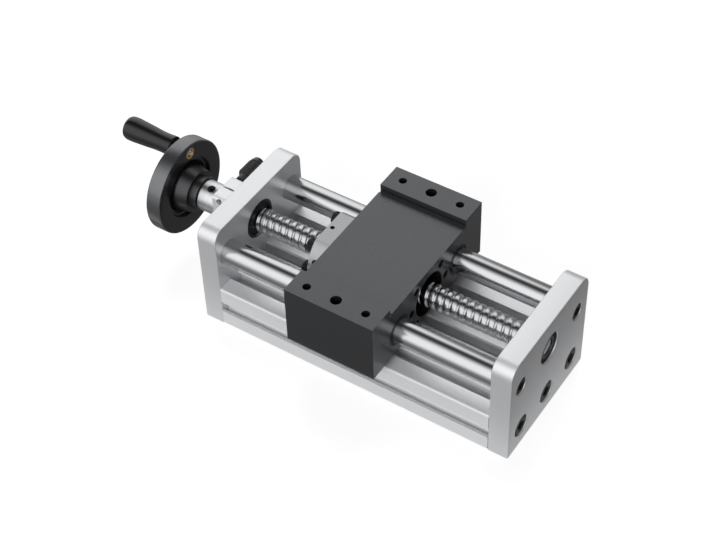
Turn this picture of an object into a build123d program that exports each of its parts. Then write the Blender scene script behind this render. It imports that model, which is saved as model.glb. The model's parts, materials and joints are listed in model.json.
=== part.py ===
from build123d import *

import os
from math import cos, radians, sin

# Ball screw linear stage, in millimetres.
# The origin is the centre of the underside of the base. +X runs along the screw from the handwheel
# to the free end plate, +Y to the side with the lock knob, and +Z up.

# Base
stage_length = 215.0
base_width = 90.0
base_height = 30.0
base_edge_radius = 1.5
slot_cells = 3
slot_mouth = 8.2
slot_lip = 2.0
slot_inner_width = 16.5
slot_straight_depth = 4.6
slot_floor_width = 9.0
slot_depth = 9.0
slot_overrun = 1.0
core_hole_diameter = 6.8
cell_rib = 2.0
cell_void_wall = 2.2

# End plates
plate_above_axis = 22.0
plate_thickness = 13.5
plate_corner_radius = 8.5
plate_edge_chamfer = 0.6
axis_height = 53.0
drive_bearing_lip = 3.5
free_bearing_lip = 1.5
bearing_lip_bore = 20.0

# Guide rods
rod_diameter = 16.0
rod_spacing = 66.0
rod_seat_depth = 4.0
rod_end_chamfer = 0.8

# Cap screws: thread, length under the head, head diameter, head height, key width, key depth
M3 = (3.0, 14.0, 5.5, 3.0, 2.5, 1.5)
M5 = (5.0, 14.0, 8.5, 5.0, 4.0, 2.5)
M6 = (6.0, 14.0, 10.0, 6.0, 5.0, 3.0)
M8 = (8.0, 18.0, 13.0, 8.0, 6.0, 4.0)
thread_clearance = 0.1
shank_clearance = 0.3
head_clearance = 0.5
head_recess = 0.4
thread_spare_depth = 2.0

# Screw bearings
bearing_bore = 10.0
bearing_outer = 26.0
bearing_width = 8.0
race_wall = 2.2
seal_thickness = 0.5
seal_clearance = 0.1
seal_inset = 0.2
ring_thickness = 1.2
ring_groove_depth = 0.6
ring_height = 2.4
ring_gap_angle = 40.0
journal_ring_thickness = 1.0
journal_ring_height = 2.0
fit_clearance = 0.02
running_clearance = 0.3

# Ball screw
screw_diameter = 15.5
thread_end_chamfer = 1.0
screw_shoulder_diameter = 12.5
shoulder_gap = 1.0
journal_end_chamfer = 0.6
free_journal_inset = 0.4

# Spindle clamp on the drive plate
clamp_thickness = 14.0
clamp_width = 22.0
clamp_above_axis = 14.0
clamp_below_axis = 17.0
clamp_corner_radius = 2.5
clamp_slit = 1.4
clamp_bore_clearance = 0.08
clamp_stud_height = 11.2
clamp_stud_offset = 8.7
clamp_screw_spacing = 14.0
clamp_screw_drop = 13.5

# Lock knob and its stud
knob_neck_diameter = 6.4
knob_neck_length = 5.0
knob_diameter = 10.5
knob_length = 11.0
knob_ring_depth = 0.6
knob_ring_width = 0.6
knob_cap_diameter = 10.0
knob_cap_end_diameter = 8.4
knob_cap_length = 3.7
knob_dome_height = 1.6
knob_edge_chamfer = 0.6
knob_gap = 0.3
quarter_turn = 90.0
stud_diameter = 4.0
stud_tip_y = 8.5

# Spindle sleeve between the handwheel and the clamp
sleeve_diameter = 20.0
sleeve_length = 14.0
sleeve_neck_diameter = 14.0
sleeve_gap = 0.3
sleeve_chamfer = 0.8
set_screw_diameter = 5.0
set_screw_length = 4.0
set_screw_key = 2.5
set_screw_angle = 13.0

# Handwheel
wheel_diameter = 63.0
wheel_rim_width = 10.5
wheel_hub_length = 12.0
wheel_hub_base_diameter = 33.6
wheel_hub_diameter = 27.6
wheel_collar_diameter = 22.4
wheel_collar_length = 4.8
wheel_dish_diameter = 41.0
wheel_dish_depth = 4.0
wheel_dish_fillet = 2.5
wheel_hub_fillet = 1.2
wheel_back_dish_depth = 2.0
wheel_boss_diameter = 25.0
wheel_edge_radius = 1.2
wheel_recess_diameter = 18.0
wheel_washer_diameter = 17.0
wheel_washer_thickness = 1.5
wheel_journal_gap = 0.5
wheel_tap_depth = 16.0
washer_hole = 5.3

# Handle on the rim
handle_radius = 25.5
handle_angle = 8.7
insert_diameter = 8.0
handle_spindle_diameter = 5.0
handle_collar_diameter = 9.0
handle_collar_length = 1.5
grip_length = 36.0
grip_base_diameter = 13.4
grip_waist_diameter = 12.8
grip_belly_diameter = 15.6
grip_bore_clearance = 0.1
grip_head_diameter = 8.0
grip_head_height = 2.5
grip_end_recess = 3.5
grip_round_length = 6.0
grip_lip = 1.0
grip_waist_share = 0.25
handle_gap = 0.3

# Carriage
carriage_length = 60.0
carriage_width = 121.0
carriage_above_axis = 25.0
carriage_below_axis = 16.5
carriage_x = -3.0
ledge_width = 18.5
ledge_height = 5.0
relief_width = 1.6
relief_depth = 0.8
mount_pitch_x = 20.0
mount_pitch_y = 103.5
outer_tap_diameter = 5.0
middle_tap_diameter = 6.8
mount_tap_depth = 14.0

# Linear bushings
bushing_diameter = 20.0
bushing_length = 25.0
bushing_seal_thickness = 1.2
bushing_seal_inset = 0.3
rod_running_clearance = 0.08

# Ball nut
nut_flange_diameter = 48.0
nut_flange_thickness = 10.0
nut_flange_flat = 20.0
nut_body_diameter = 28.0
nut_length = 50.0
nut_pcd = 38.0
nut_bore_clearance = 0.35
nut_screw_angles = (-45.0, 0.0, 45.0)
carriage_bore_clearance = 0.5
oil_hole_diameter = 2.8
oil_hole_depth = 5.0
oil_hole_offset = 3.0
grease_port_diameter = 5.0
grease_port_angle = 157.0
wiper_diameter = 21.0
wiper_width = 3.0
wiper_inset = 0.3
wiper_clearance = 0.1

# Places worked out from the sizes above
plate_outer_x = stage_length / 2
plate_inner_x = plate_outer_x - plate_thickness
plate_height = axis_height + plate_above_axis
profile_length = 2 * plate_inner_x
slot_pitch = base_width / slot_cells
cell_void_width = slot_pitch - slot_inner_width - 2 * cell_rib
core_height = base_height / 2
rod_y = rod_spacing / 2
rod_radius = rod_diameter / 2
screw_radius = screw_diameter / 2
journal_radius = bearing_bore / 2
slot_columns = (-slot_pitch, 0.0, slot_pitch)
drive_lip_x = -plate_outer_x + drive_bearing_lip
free_lip_x = plate_outer_x - free_bearing_lip
drive_bearing_x = drive_lip_x + bearing_width / 2
free_bearing_x = free_lip_x - bearing_width / 2
sleeve_x = -plate_outer_x - clamp_thickness
wheel_hub_x = sleeve_x - sleeve_length
wheel_face_x = wheel_hub_x - wheel_hub_length
wheel_back_x = wheel_face_x - wheel_rim_width
carriage_top = axis_height + carriage_above_axis
carriage_bottom = axis_height - carriage_below_axis
carriage_start_x = carriage_x - carriage_length / 2
carriage_end_x = carriage_x + carriage_length / 2
nut_face_x = carriage_start_x - nut_flange_thickness
stud_x = -plate_outer_x - clamp_stud_offset
stud_z = axis_height + clamp_stud_height
handle_y = handle_radius * sin(radians(handle_angle))
handle_z = axis_height + handle_radius * cos(radians(handle_angle))

os.makedirs("parts", exist_ok=True)


def save(part, label):
    """Names a finished piece and writes its file."""
    part.label = label
    export_step(part, f"parts/{label}.step")


def across(x, y=0.0, z=axis_height):
    """A plane square to the screw at x, facing +X, with its own x along +Y and its own y up."""
    return Plane(origin=(x, y, z), x_dir=(0, 1, 0), z_dir=(1, 0, 0))


def across_back(x, y=0.0, z=axis_height):
    """The same plane facing -X."""
    return Plane(origin=(x, y, z), x_dir=(0, -1, 0), z_dir=(-1, 0, 0))


def lengthwise(y=0.0, z=axis_height):
    """A plane for profiles turned about a line along X: its own x along +X, its own y up."""
    return Plane(origin=(0, y, z), x_dir=(1, 0, 0), z_dir=(0, -1, 0))


def line_along_x(y=0.0, z=axis_height):
    """The line along X that such a profile is turned about."""
    return Axis((0, y, z), (1, 0, 0))


def turned(points, y=0.0, z=axis_height):
    """A turned piece from the outline of its half section, as pairs of x and radius."""
    with BuildPart() as piece:
        with BuildSketch(lengthwise(y, z)):
            with BuildLine():
                Polyline(*points, close=True)
            make_face()
        revolve(axis=line_along_x(y, z))
    return piece.part


def ring(x, length, outer_radius, inner_radius, y=0.0, z=axis_height):
    """A plain ring about a line along X, starting at x."""
    with BuildPart() as piece:
        with BuildSketch(across(x, y, z)):
            Circle(outer_radius)
            Circle(inner_radius, mode=Mode.SUBTRACT)
        extrude(amount=length)
    return piece.part


def cap_screw(size, seat, direction):
    """A socket head cap screw. Its head's underside lies at the seat, its shank along direction."""
    thread, length, head_diameter, head_height, key_width, key_depth = size
    seat_plane = Plane(origin=seat, z_dir=direction)
    with BuildPart() as screw:
        with BuildSketch(seat_plane):
            Circle(thread / 2)
        extrude(amount=length)
        with BuildSketch(seat_plane):
            Circle(head_diameter / 2)
        extrude(amount=-head_height)
        with BuildSketch(seat_plane.offset(-head_height)):
            RegularPolygon(key_width / 2, 6, major_radius=False)
        extrude(amount=key_depth, mode=Mode.SUBTRACT)
    return screw.part


def slot_outline(mouth):
    """One slot of the base, cut inwards from its mouth along the mouth's own -y."""
    half_mouth = slot_mouth / 2
    half_inner = slot_inner_width / 2
    half_floor = slot_floor_width / 2
    with Locations(mouth):
        with BuildLine(mode=Mode.PRIVATE) as edge:
            Polyline(
                (-half_mouth, slot_overrun),
                (-half_mouth, -slot_lip),
                (-half_inner, -slot_lip),
                (-half_inner, -slot_straight_depth),
                (-half_floor, -slot_depth),
                (half_floor, -slot_depth),
                (half_inner, -slot_straight_depth),
                (half_inner, -slot_lip),
                (half_mouth, -slot_lip),
                (half_mouth, slot_overrun),
                close=True,
            )
        add(make_face(edge.edges(), mode=Mode.PRIVATE), mode=Mode.SUBTRACT)


# Base profile, with a tapped core in each of its three cells
screw_reach = M8[1] - (plate_thickness - M8[3] - head_recess)
with BuildPart() as base_profile:
    with BuildSketch(across(-plate_inner_x, z=0.0)):
        with Locations((0, core_height)):
            RectangleRounded(base_width, base_height, base_edge_radius)
        for column in slot_columns:
            slot_outline(Location((column, base_height)))
            slot_outline(Location((column, 0.0), 180.0))
        slot_outline(Location((base_width / 2, core_height), -90.0))
        slot_outline(Location((-base_width / 2, core_height), 90.0))
        with GridLocations(slot_pitch, 0, 2, 1):
            with Locations((0, core_height)):
                Rectangle(cell_void_width, base_height - 2 * cell_void_wall, mode=Mode.SUBTRACT)
        with Locations(*((column, core_height) for column in slot_columns)):
            Circle(core_hole_diameter / 2, mode=Mode.SUBTRACT)
    extrude(amount=profile_length)
    for end_plane in (across_back(plate_inner_x, z=0.0), across(-plate_inner_x, z=0.0)):
        with BuildSketch(end_plane):
            with Locations(*((column, core_height) for column in slot_columns)):
                Circle(M8[0] / 2 + thread_clearance)
        extrude(amount=screw_reach + thread_spare_depth, mode=Mode.SUBTRACT)
save(base_profile.part, "base_profile")


def end_plate(outer_plane, bearing_lip, ring_groove):
    """An end plate, drawn from its outer face inwards, the outer plane facing inwards."""
    with BuildPart() as plate:
        with BuildSketch(outer_plane):
            with Locations((0, plate_height / 2)):
                Rectangle(base_width, plate_height)
        extrude(amount=plate_thickness)
        upper_edges = plate.edges().filter_by(Axis.X).group_by(Axis.Z)[-1]
        fillet(upper_edges, plate_corner_radius)
        chamfer(plate.edges().filter_by(Axis.X, reverse=True), plate_edge_chamfer)
        rod_places = [(side * rod_y, axis_height) for side in (-1, 1)]
        base_places = [(column, core_height) for column in slot_columns]
        for size, places in ((M6, rod_places), (M8, base_places)):
            with BuildSketch(outer_plane):
                with Locations(*places):
                    Circle(size[2] / 2 + head_clearance)
            extrude(amount=size[3] + head_recess, mode=Mode.SUBTRACT)
            with BuildSketch(outer_plane):
                with Locations(*places):
                    Circle(size[0] / 2 + shank_clearance)
            extrude(amount=plate_thickness, mode=Mode.SUBTRACT)
        with BuildSketch(outer_plane.offset(plate_thickness)):
            with Locations(*rod_places):
                Circle(rod_radius + fit_clearance)
        extrude(amount=-rod_seat_depth, mode=Mode.SUBTRACT)
        with BuildSketch(outer_plane):
            with Locations((0, axis_height)):
                Circle(bearing_lip_bore / 2)
        extrude(amount=plate_thickness, mode=Mode.SUBTRACT)
        with BuildSketch(outer_plane.offset(bearing_lip)):
            with Locations((0, axis_height)):
                Circle(bearing_outer / 2 + fit_clearance)
        extrude(amount=plate_thickness - bearing_lip, mode=Mode.SUBTRACT)
        if ring_groove:
            with BuildSketch(outer_plane.offset(bearing_lip + bearing_width)):
                with Locations((0, axis_height)):
                    Circle(bearing_outer / 2 + ring_groove_depth)
            extrude(amount=ring_thickness, mode=Mode.SUBTRACT)
    return plate.part


clamp_screw_places = [(side * clamp_screw_spacing / 2, -clamp_screw_drop) for side in (-1, 1)]
clamp_tap_depth = M3[1] - (clamp_thickness - M3[3] - head_recess) + thread_spare_depth
with BuildPart() as drive_end_plate:
    add(end_plate(across(-plate_outer_x, z=0.0), drive_bearing_lip, ring_groove=True))
    with BuildSketch(across(-plate_outer_x)):
        with Locations(*clamp_screw_places):
            Circle(M3[0] / 2 + thread_clearance)
    extrude(amount=clamp_tap_depth, mode=Mode.SUBTRACT)
save(drive_end_plate.part, "drive_end_plate")
free_plate_plane = across_back(plate_outer_x, z=0.0)
free_end_plate = end_plate(free_plate_plane, free_bearing_lip, ring_groove=False)
save(free_end_plate, "free_end_plate")

# Guide rods, seated in both plates and tapped at both ends
rod_end_x = plate_inner_x + rod_seat_depth
rod_screw_seat = plate_thickness - rod_seat_depth - M6[3] - head_recess
rod_tap_depth = M6[1] - rod_screw_seat + thread_spare_depth
for side, label in ((-1, "near_guide_rod"), (1, "far_guide_rod")):
    with BuildPart() as guide_rod:
        with BuildSketch(across(-rod_end_x, side * rod_y)):
            Circle(rod_radius)
        extrude(amount=2 * rod_end_x)
        chamfer(guide_rod.edges(), rod_end_chamfer)
        for end_plane in (across(-rod_end_x, side * rod_y), across_back(rod_end_x, side * rod_y)):
            with BuildSketch(end_plane):
                Circle(M6[0] / 2 + thread_clearance)
            extrude(amount=rod_tap_depth, mode=Mode.SUBTRACT)
    save(guide_rod.part, label)


def plate_screws(size, places):
    """The cap screws of one kind in both end plates."""
    screws = []
    for end in (-1, 1):
        seat_x = end * (plate_outer_x - size[3] - head_recess)
        for y, z in places:
            screws.append(cap_screw(size, (seat_x, y, z), (-end, 0, 0)))
    return Compound(children=screws)


save(plate_screws(M6, [(side * rod_y, axis_height) for side in (-1, 1)]), "rod_screws")
save(plate_screws(M8, [(column, core_height) for column in slot_columns]), "base_screws")


def bearing_pieces(centre_x):
    """The outer ring, inner ring and two seals of a sealed bearing."""
    start_x = centre_x - bearing_width / 2
    outer_radius = bearing_outer / 2
    outer = ring(start_x, bearing_width, outer_radius, outer_radius - race_wall)
    inner = ring(start_x, bearing_width, journal_radius + race_wall, journal_radius + fit_clearance)
    seals = []
    for seal_x in (start_x + seal_inset, start_x + bearing_width - seal_inset - seal_thickness):
        seal_inner = journal_radius + race_wall + seal_clearance
        seals.append(ring(seal_x, seal_thickness, outer_radius - race_wall, seal_inner))
    return outer, inner, seals


drive_outer, drive_inner, drive_seals = bearing_pieces(drive_bearing_x)
free_outer, free_inner, free_seals = bearing_pieces(free_bearing_x)
save(drive_outer, "drive_bearing_outer_ring")
save(free_outer, "free_bearing_outer_ring")
save(Compound(children=[drive_inner, free_inner]), "bearing_inner_rings")
save(Compound(children=drive_seals + free_seals), "bearing_seals")


def open_ring(x, thickness, outer_radius, inner_radius, gap_angle):
    """A sprung retaining ring with its gap at the bottom."""
    with BuildPart() as piece:
        with BuildSketch(across(x)):
            Circle(outer_radius)
            Circle(inner_radius, mode=Mode.SUBTRACT)
            reach = 2 * outer_radius
            half_gap = radians(gap_angle / 2)
            with BuildLine():
                corner = (reach * sin(half_gap), -reach * cos(half_gap))
                Polyline((0, 0), corner, (-corner[0], corner[1]), close=True)
            make_face(mode=Mode.SUBTRACT)
        extrude(amount=thickness)
    return piece.part


housing_ring_radius = bearing_outer / 2 + ring_groove_depth - fit_clearance
housing_ring = open_ring(
    drive_lip_x + bearing_width,
    ring_thickness,
    housing_ring_radius,
    housing_ring_radius - ring_height,
    ring_gap_angle,
)
save(housing_ring, "housing_retaining_ring")

journal_ring_end_x = drive_lip_x - fit_clearance
journal_ring_x = journal_ring_end_x - journal_ring_thickness
journal_ring_inner = journal_radius - ring_groove_depth + fit_clearance
journal_ring = open_ring(
    journal_ring_x,
    journal_ring_thickness,
    journal_ring_inner + journal_ring_height,
    journal_ring_inner,
    ring_gap_angle,
)
save(journal_ring, "journal_retaining_ring")


# Ball screw at its outside diameter, with turned shoulders and journals at both ends
thread_start_x = -plate_inner_x + shoulder_gap
thread_end_x = plate_inner_x - shoulder_gap
thread_chamfer_radius = screw_radius - thread_end_chamfer
drive_shoulder_x = drive_lip_x + bearing_width
free_shoulder_x = free_lip_x - bearing_width
drive_journal_end_x = wheel_back_x + wheel_back_dish_depth + wheel_journal_gap
free_journal_end_x = free_lip_x - free_journal_inset
shoulder_radius = screw_shoulder_diameter / 2
ring_groove_radius = journal_radius - ring_groove_depth
journal_chamfer_radius = journal_radius - journal_end_chamfer
ball_screw = turned([
    (drive_journal_end_x, 0),
    (drive_journal_end_x, journal_radius),
    (journal_ring_x, journal_radius),
    (journal_ring_x, ring_groove_radius),
    (journal_ring_end_x, ring_groove_radius),
    (journal_ring_end_x, journal_radius),
    (drive_shoulder_x, journal_radius),
    (drive_shoulder_x, shoulder_radius),
    (thread_start_x, shoulder_radius),
    (thread_start_x, thread_chamfer_radius),
    (thread_start_x + thread_end_chamfer, screw_radius),
    (thread_end_x - thread_end_chamfer, screw_radius),
    (thread_end_x, thread_chamfer_radius),
    (thread_end_x, shoulder_radius),
    (free_shoulder_x, shoulder_radius),
    (free_shoulder_x, journal_radius),
    (free_journal_end_x - journal_end_chamfer, journal_radius),
    (free_journal_end_x, journal_chamfer_radius),
    (free_journal_end_x, 0),
])
with BuildPart() as tapped_screw:
    add(ball_screw)
    with BuildSketch(across(drive_journal_end_x)):
        Circle(M5[0] / 2 + thread_clearance)
    extrude(amount=wheel_tap_depth, mode=Mode.SUBTRACT)
save(tapped_screw.part, "ball_screw")

# Split clamp on the drive plate, its slit drawn together by the lock stud
with BuildPart() as spindle_clamp:
    with BuildSketch(across(sleeve_x)) as clamp_outline:
        with Locations((0, (clamp_above_axis - clamp_below_axis) / 2)):
            Rectangle(clamp_width, clamp_above_axis + clamp_below_axis)
        fillet(clamp_outline.vertices(), clamp_corner_radius)
        Circle(sleeve_neck_diameter / 2 + clamp_bore_clearance, mode=Mode.SUBTRACT)
        with Locations((0, clamp_above_axis / 2)):
            Rectangle(clamp_slit, clamp_above_axis, mode=Mode.SUBTRACT)
    extrude(amount=clamp_thickness)
    with BuildSketch(across(sleeve_x)):
        with Locations(*clamp_screw_places):
            Circle(M3[2] / 2 + head_clearance / 2)
    extrude(amount=M3[3] + head_recess, mode=Mode.SUBTRACT)
    with BuildSketch(across(sleeve_x)):
        with Locations(*clamp_screw_places):
            Circle(M3[0] / 2 + shank_clearance)
    extrude(amount=clamp_thickness, mode=Mode.SUBTRACT)
    with BuildSketch(Plane.XZ.offset(-clamp_width / 2)):
        with Locations((stud_x, stud_z)):
            Circle(stud_diameter / 2 + thread_clearance)
    extrude(amount=clamp_width, mode=Mode.SUBTRACT)
save(spindle_clamp.part, "spindle_clamp")

clamp_seat_x = sleeve_x + M3[3] + head_recess
clamp_screw_seats = [(clamp_seat_x, y, axis_height + z) for y, z in clamp_screw_places]
clamp_screws = [cap_screw(M3, seat, (1, 0, 0)) for seat in clamp_screw_seats]
save(Compound(children=clamp_screws), "clamp_screws")

# Lock knob and stud, turned about a line along Y
knob_axis = Axis((stud_x, 0, stud_z), (0, 1, 0))
knob_start_y = clamp_width / 2 + knob_gap
knob_body_y = knob_start_y + knob_neck_length
knob_ring_y = knob_body_y + knob_length
knob_cap_y = knob_ring_y + knob_ring_width
knob_dome_y = knob_cap_y + knob_cap_length
knob_radius = knob_diameter / 2
knob_cap_radius = knob_cap_diameter / 2
knob_dome_radius = knob_cap_end_diameter / 2
stud_radius = stud_diameter / 2
with BuildPart() as lock_knob:
    with BuildSketch(across(stud_x, 0, stud_z)):
        with BuildLine():
            dome = EllipticalCenterArc(
                (knob_dome_y, 0), knob_dome_height, knob_dome_radius, arc_size=quarter_turn
            )
            Polyline(
                dome @ 1,
                (knob_cap_y, knob_cap_radius),
                (knob_cap_y, knob_cap_radius - knob_ring_depth),
                (knob_ring_y, knob_cap_radius - knob_ring_depth),
                (knob_ring_y, knob_radius - knob_edge_chamfer),
                (knob_ring_y - knob_edge_chamfer, knob_radius),
                (knob_body_y + knob_edge_chamfer, knob_radius),
                (knob_body_y, knob_radius - knob_edge_chamfer),
                (knob_body_y, knob_neck_diameter / 2),
                (knob_start_y, knob_neck_diameter / 2),
                (knob_start_y, stud_radius),
                (knob_body_y, stud_radius),
                (knob_body_y, 0),
                dome @ 0,
            )
        make_face()
    revolve(axis=knob_axis)
save(lock_knob.part, "lock_knob")

with BuildPart() as lock_stud:
    with BuildSketch(Plane.XZ.offset(stud_tip_y)):
        with Locations((stud_x, stud_z)):
            Circle(stud_radius)
    extrude(amount=-(knob_body_y + stud_tip_y))
save(lock_stud.part, "lock_stud")

# Spindle sleeve, whose neck the clamp grips, and its set screw
sleeve_radius = sleeve_diameter / 2
sleeve_end_x = sleeve_x - sleeve_gap
sleeve_bore_radius = journal_radius + fit_clearance
sleeve_body = turned([
    (wheel_hub_x, sleeve_bore_radius),
    (wheel_hub_x, sleeve_radius - sleeve_chamfer),
    (wheel_hub_x + sleeve_chamfer, sleeve_radius),
    (sleeve_end_x - sleeve_chamfer, sleeve_radius),
    (sleeve_end_x, sleeve_radius - sleeve_chamfer),
    (sleeve_end_x, sleeve_neck_diameter / 2),
    (-plate_outer_x - sleeve_gap, sleeve_neck_diameter / 2),
    (-plate_outer_x - sleeve_gap, sleeve_bore_radius),
])
set_screw_direction = (0, -sin(radians(set_screw_angle)), cos(radians(set_screw_angle)))
set_screw_origin = (wheel_hub_x + sleeve_length / 2, 0, axis_height)
set_screw_plane = Plane(origin=set_screw_origin, x_dir=(1, 0, 0), z_dir=set_screw_direction)
with BuildPart() as spindle_sleeve:
    add(sleeve_body)
    with BuildSketch(set_screw_plane):
        Circle(set_screw_diameter / 2 + thread_clearance)
    extrude(amount=sleeve_diameter, mode=Mode.SUBTRACT)
save(spindle_sleeve.part, "spindle_sleeve")

set_screw_top = journal_radius + fit_clearance + set_screw_length
with BuildPart() as sleeve_set_screw:
    with BuildSketch(set_screw_plane.offset(journal_radius + fit_clearance)):
        Circle(set_screw_diameter / 2)
    extrude(amount=set_screw_length)
    with BuildSketch(set_screw_plane.offset(set_screw_top)):
        RegularPolygon(set_screw_key / 2, 6, major_radius=False)
    extrude(amount=-set_screw_length / 2, mode=Mode.SUBTRACT)
save(sleeve_set_screw.part, "sleeve_set_screw")

# Handwheel: a flat rim face, a dish inside it and a wide tapered hub with a step to its collar
wheel_radius = wheel_diameter / 2
hub_radius = wheel_hub_diameter / 2
collar_radius = wheel_collar_diameter / 2
dish_radius = wheel_dish_diameter / 2
dish_floor_x = wheel_face_x - wheel_dish_depth
wheel_body = turned([
    (wheel_back_x + wheel_back_dish_depth, sleeve_bore_radius),
    (wheel_back_x + wheel_back_dish_depth, wheel_recess_diameter / 2),
    (wheel_back_x, wheel_recess_diameter / 2),
    (wheel_back_x, wheel_boss_diameter / 2),
    (wheel_back_x + wheel_back_dish_depth, wheel_boss_diameter / 2),
    (wheel_back_x + wheel_back_dish_depth, dish_radius),
    (wheel_back_x, dish_radius),
    (wheel_back_x, wheel_radius),
    (wheel_face_x, wheel_radius),
    (wheel_face_x, dish_radius),
    (dish_floor_x, dish_radius),
    (dish_floor_x, wheel_hub_base_diameter / 2),
    (wheel_hub_x - wheel_collar_length, hub_radius),
    (wheel_hub_x - wheel_collar_length, collar_radius),
    (wheel_hub_x - sleeve_chamfer, collar_radius),
    (wheel_hub_x, collar_radius - sleeve_chamfer),
    (wheel_hub_x, sleeve_bore_radius),
])
with BuildPart() as handwheel:
    add(wheel_body)
    rim_edges = handwheel.edges().filter_by(GeomType.CIRCLE).sort_by(SortBy.RADIUS)[-2:]
    fillet(rim_edges, wheel_edge_radius)
    floor_edges = handwheel.edges().filter_by_position(Axis.X, dish_floor_x, dish_floor_x)
    wall_foot = floor_edges.sort_by(SortBy.RADIUS)[-1]
    fillet(wall_foot, wheel_dish_fillet)
    floor_edges = handwheel.edges().filter_by_position(Axis.X, dish_floor_x, dish_floor_x)
    hub_foot = floor_edges.sort_by(SortBy.RADIUS)[0]
    fillet(hub_foot, wheel_hub_fillet)
    with BuildSketch(across(wheel_back_x, handle_y, handle_z)):
        Circle(insert_diameter / 2 + fit_clearance)
    extrude(amount=wheel_rim_width, mode=Mode.SUBTRACT)
save(handwheel.part, "handwheel")

washer_x = wheel_back_x + wheel_back_dish_depth - wheel_washer_thickness
wheel_washer = ring(washer_x, wheel_washer_thickness, wheel_washer_diameter / 2, washer_hole / 2)
save(wheel_washer, "wheel_washer")
save(cap_screw(M5, (washer_x, 0, axis_height), (1, 0, 0)), "wheel_screw")

# Handle: a brass insert in the rim, a spindle screwed through it and a grip that turns on the spindle
handle_radius_seat = handle_spindle_diameter / 2 + fit_clearance
handle_insert = ring(
    wheel_back_x, wheel_rim_width, insert_diameter / 2, handle_radius_seat, handle_y, handle_z
)
save(handle_insert, "handle_insert")

collar_x = wheel_back_x - handle_collar_length
grip_start_x = collar_x - handle_gap
grip_end_x = grip_start_x - grip_length
grip_floor_x = grip_end_x + grip_end_recess
spindle_head_x = grip_floor_x - handle_gap
spindle_radius = handle_spindle_diameter / 2
handle_spindle = turned(
    [
        (wheel_face_x, 0),
        (wheel_face_x, spindle_radius),
        (wheel_back_x, spindle_radius),
        (wheel_back_x, handle_collar_diameter / 2),
        (collar_x, handle_collar_diameter / 2),
        (collar_x, spindle_radius),
        (spindle_head_x, spindle_radius),
        (spindle_head_x, grip_head_diameter / 2),
        (spindle_head_x - grip_head_height, grip_head_diameter / 2),
        (spindle_head_x - grip_head_height, 0),
    ],
    handle_y,
    handle_z,
)
save(handle_spindle, "handle_spindle")

grip_recess_radius = grip_head_diameter / 2 + running_clearance
grip_bore_radius = spindle_radius + grip_bore_clearance
grip_round_x = grip_end_x + grip_round_length
with BuildPart() as handle_grip:
    with BuildSketch(lengthwise(handle_y, handle_z)):
        with BuildLine():
            grip_side = Spline(
                (grip_start_x, grip_base_diameter / 2),
                (grip_start_x - grip_waist_share * grip_length, grip_waist_diameter / 2),
                (grip_round_x, grip_belly_diameter / 2),
            )
            grip_round = ThreePointArc(
                grip_side @ 1,
                (grip_end_x + grip_round_length / 4, grip_belly_diameter / 2 - grip_round_length / 3),
                (grip_end_x, grip_recess_radius + grip_lip),
            )
            Polyline(
                grip_round @ 1,
                (grip_end_x, grip_recess_radius),
                (grip_floor_x, grip_recess_radius),
                (grip_floor_x, grip_bore_radius),
                (grip_start_x, grip_bore_radius),
                grip_side @ 0,
            )
        make_face()
    revolve(axis=line_along_x(handle_y, handle_z))
save(handle_grip.part, "handle_grip")


# Carriage with two raised ledges, bores for the bushings and the nut, and tapped holes
def radial_places(radius, angles):
    """Places on a circle, the same angles on both sides, as pairs across the screw."""
    places = []
    for side in (-1, 1):
        for angle in angles:
            places.append((side * radius * cos(radians(angle)), radius * sin(radians(angle))))
    return places


nut_screw_places = radial_places(nut_pcd / 2, nut_screw_angles)
carriage_height = carriage_top - carriage_bottom
recess_width = carriage_width - 2 * ledge_width
nut_screw_reach = M5[1] - nut_flange_thickness
with BuildPart() as carriage_block:
    with BuildSketch(across(carriage_start_x, z=carriage_bottom)):
        with Locations((0, carriage_height / 2)):
            Rectangle(carriage_width, carriage_height)
        with Locations((0, carriage_height - ledge_height / 2)):
            Rectangle(recess_width, ledge_height, mode=Mode.SUBTRACT)
        with GridLocations(recess_width - relief_width, 0, 2, 1):
            with Locations((0, carriage_height - ledge_height)):
                Rectangle(relief_width, 2 * relief_depth, mode=Mode.SUBTRACT)
    extrude(amount=carriage_length)
    with BuildSketch(across(carriage_start_x)):
        with GridLocations(rod_spacing, 0, 2, 1):
            Circle(bushing_diameter / 2 + fit_clearance)
        Circle(nut_body_diameter / 2 + carriage_bore_clearance)
    extrude(amount=carriage_length, mode=Mode.SUBTRACT)
    for face in (across(carriage_start_x), across_back(carriage_end_x)):
        with BuildSketch(face):
            with Locations(*nut_screw_places):
                Circle(M5[0] / 2 + thread_clearance)
        extrude(amount=nut_screw_reach + thread_spare_depth, mode=Mode.SUBTRACT)
    with BuildSketch(Plane.XY.offset(carriage_top)):
        with Locations((carriage_x, 0)):
            with GridLocations(2 * mount_pitch_x, mount_pitch_y, 2, 2):
                Circle(outer_tap_diameter / 2)
            with GridLocations(0, mount_pitch_y, 1, 2):
                Circle(middle_tap_diameter / 2)
    extrude(amount=-mount_tap_depth, mode=Mode.SUBTRACT)
save(carriage_block.part, "carriage_block")

# Two plain bushings and two outer seals for each guide rod
bushings = []
bushing_seals = []
seal_run = bushing_seal_thickness + bushing_seal_inset
bushing_starts = (carriage_start_x + seal_run, carriage_end_x - seal_run - bushing_length)
seal_starts = (carriage_start_x + bushing_seal_inset, carriage_end_x - seal_run)
rod_bore_radius = rod_radius + rod_running_clearance
for side in (-1, 1):
    for start in bushing_starts:
        bushings.append(ring(start, bushing_length, bushing_diameter / 2, rod_bore_radius, side * rod_y))
    for start in seal_starts:
        bushing_seals.append(
            ring(start, bushing_seal_thickness, bushing_diameter / 2, rod_bore_radius, side * rod_y)
        )
save(Compound(children=bushings), "rod_bushings")
save(Compound(children=bushing_seals), "rod_seals")

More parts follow.
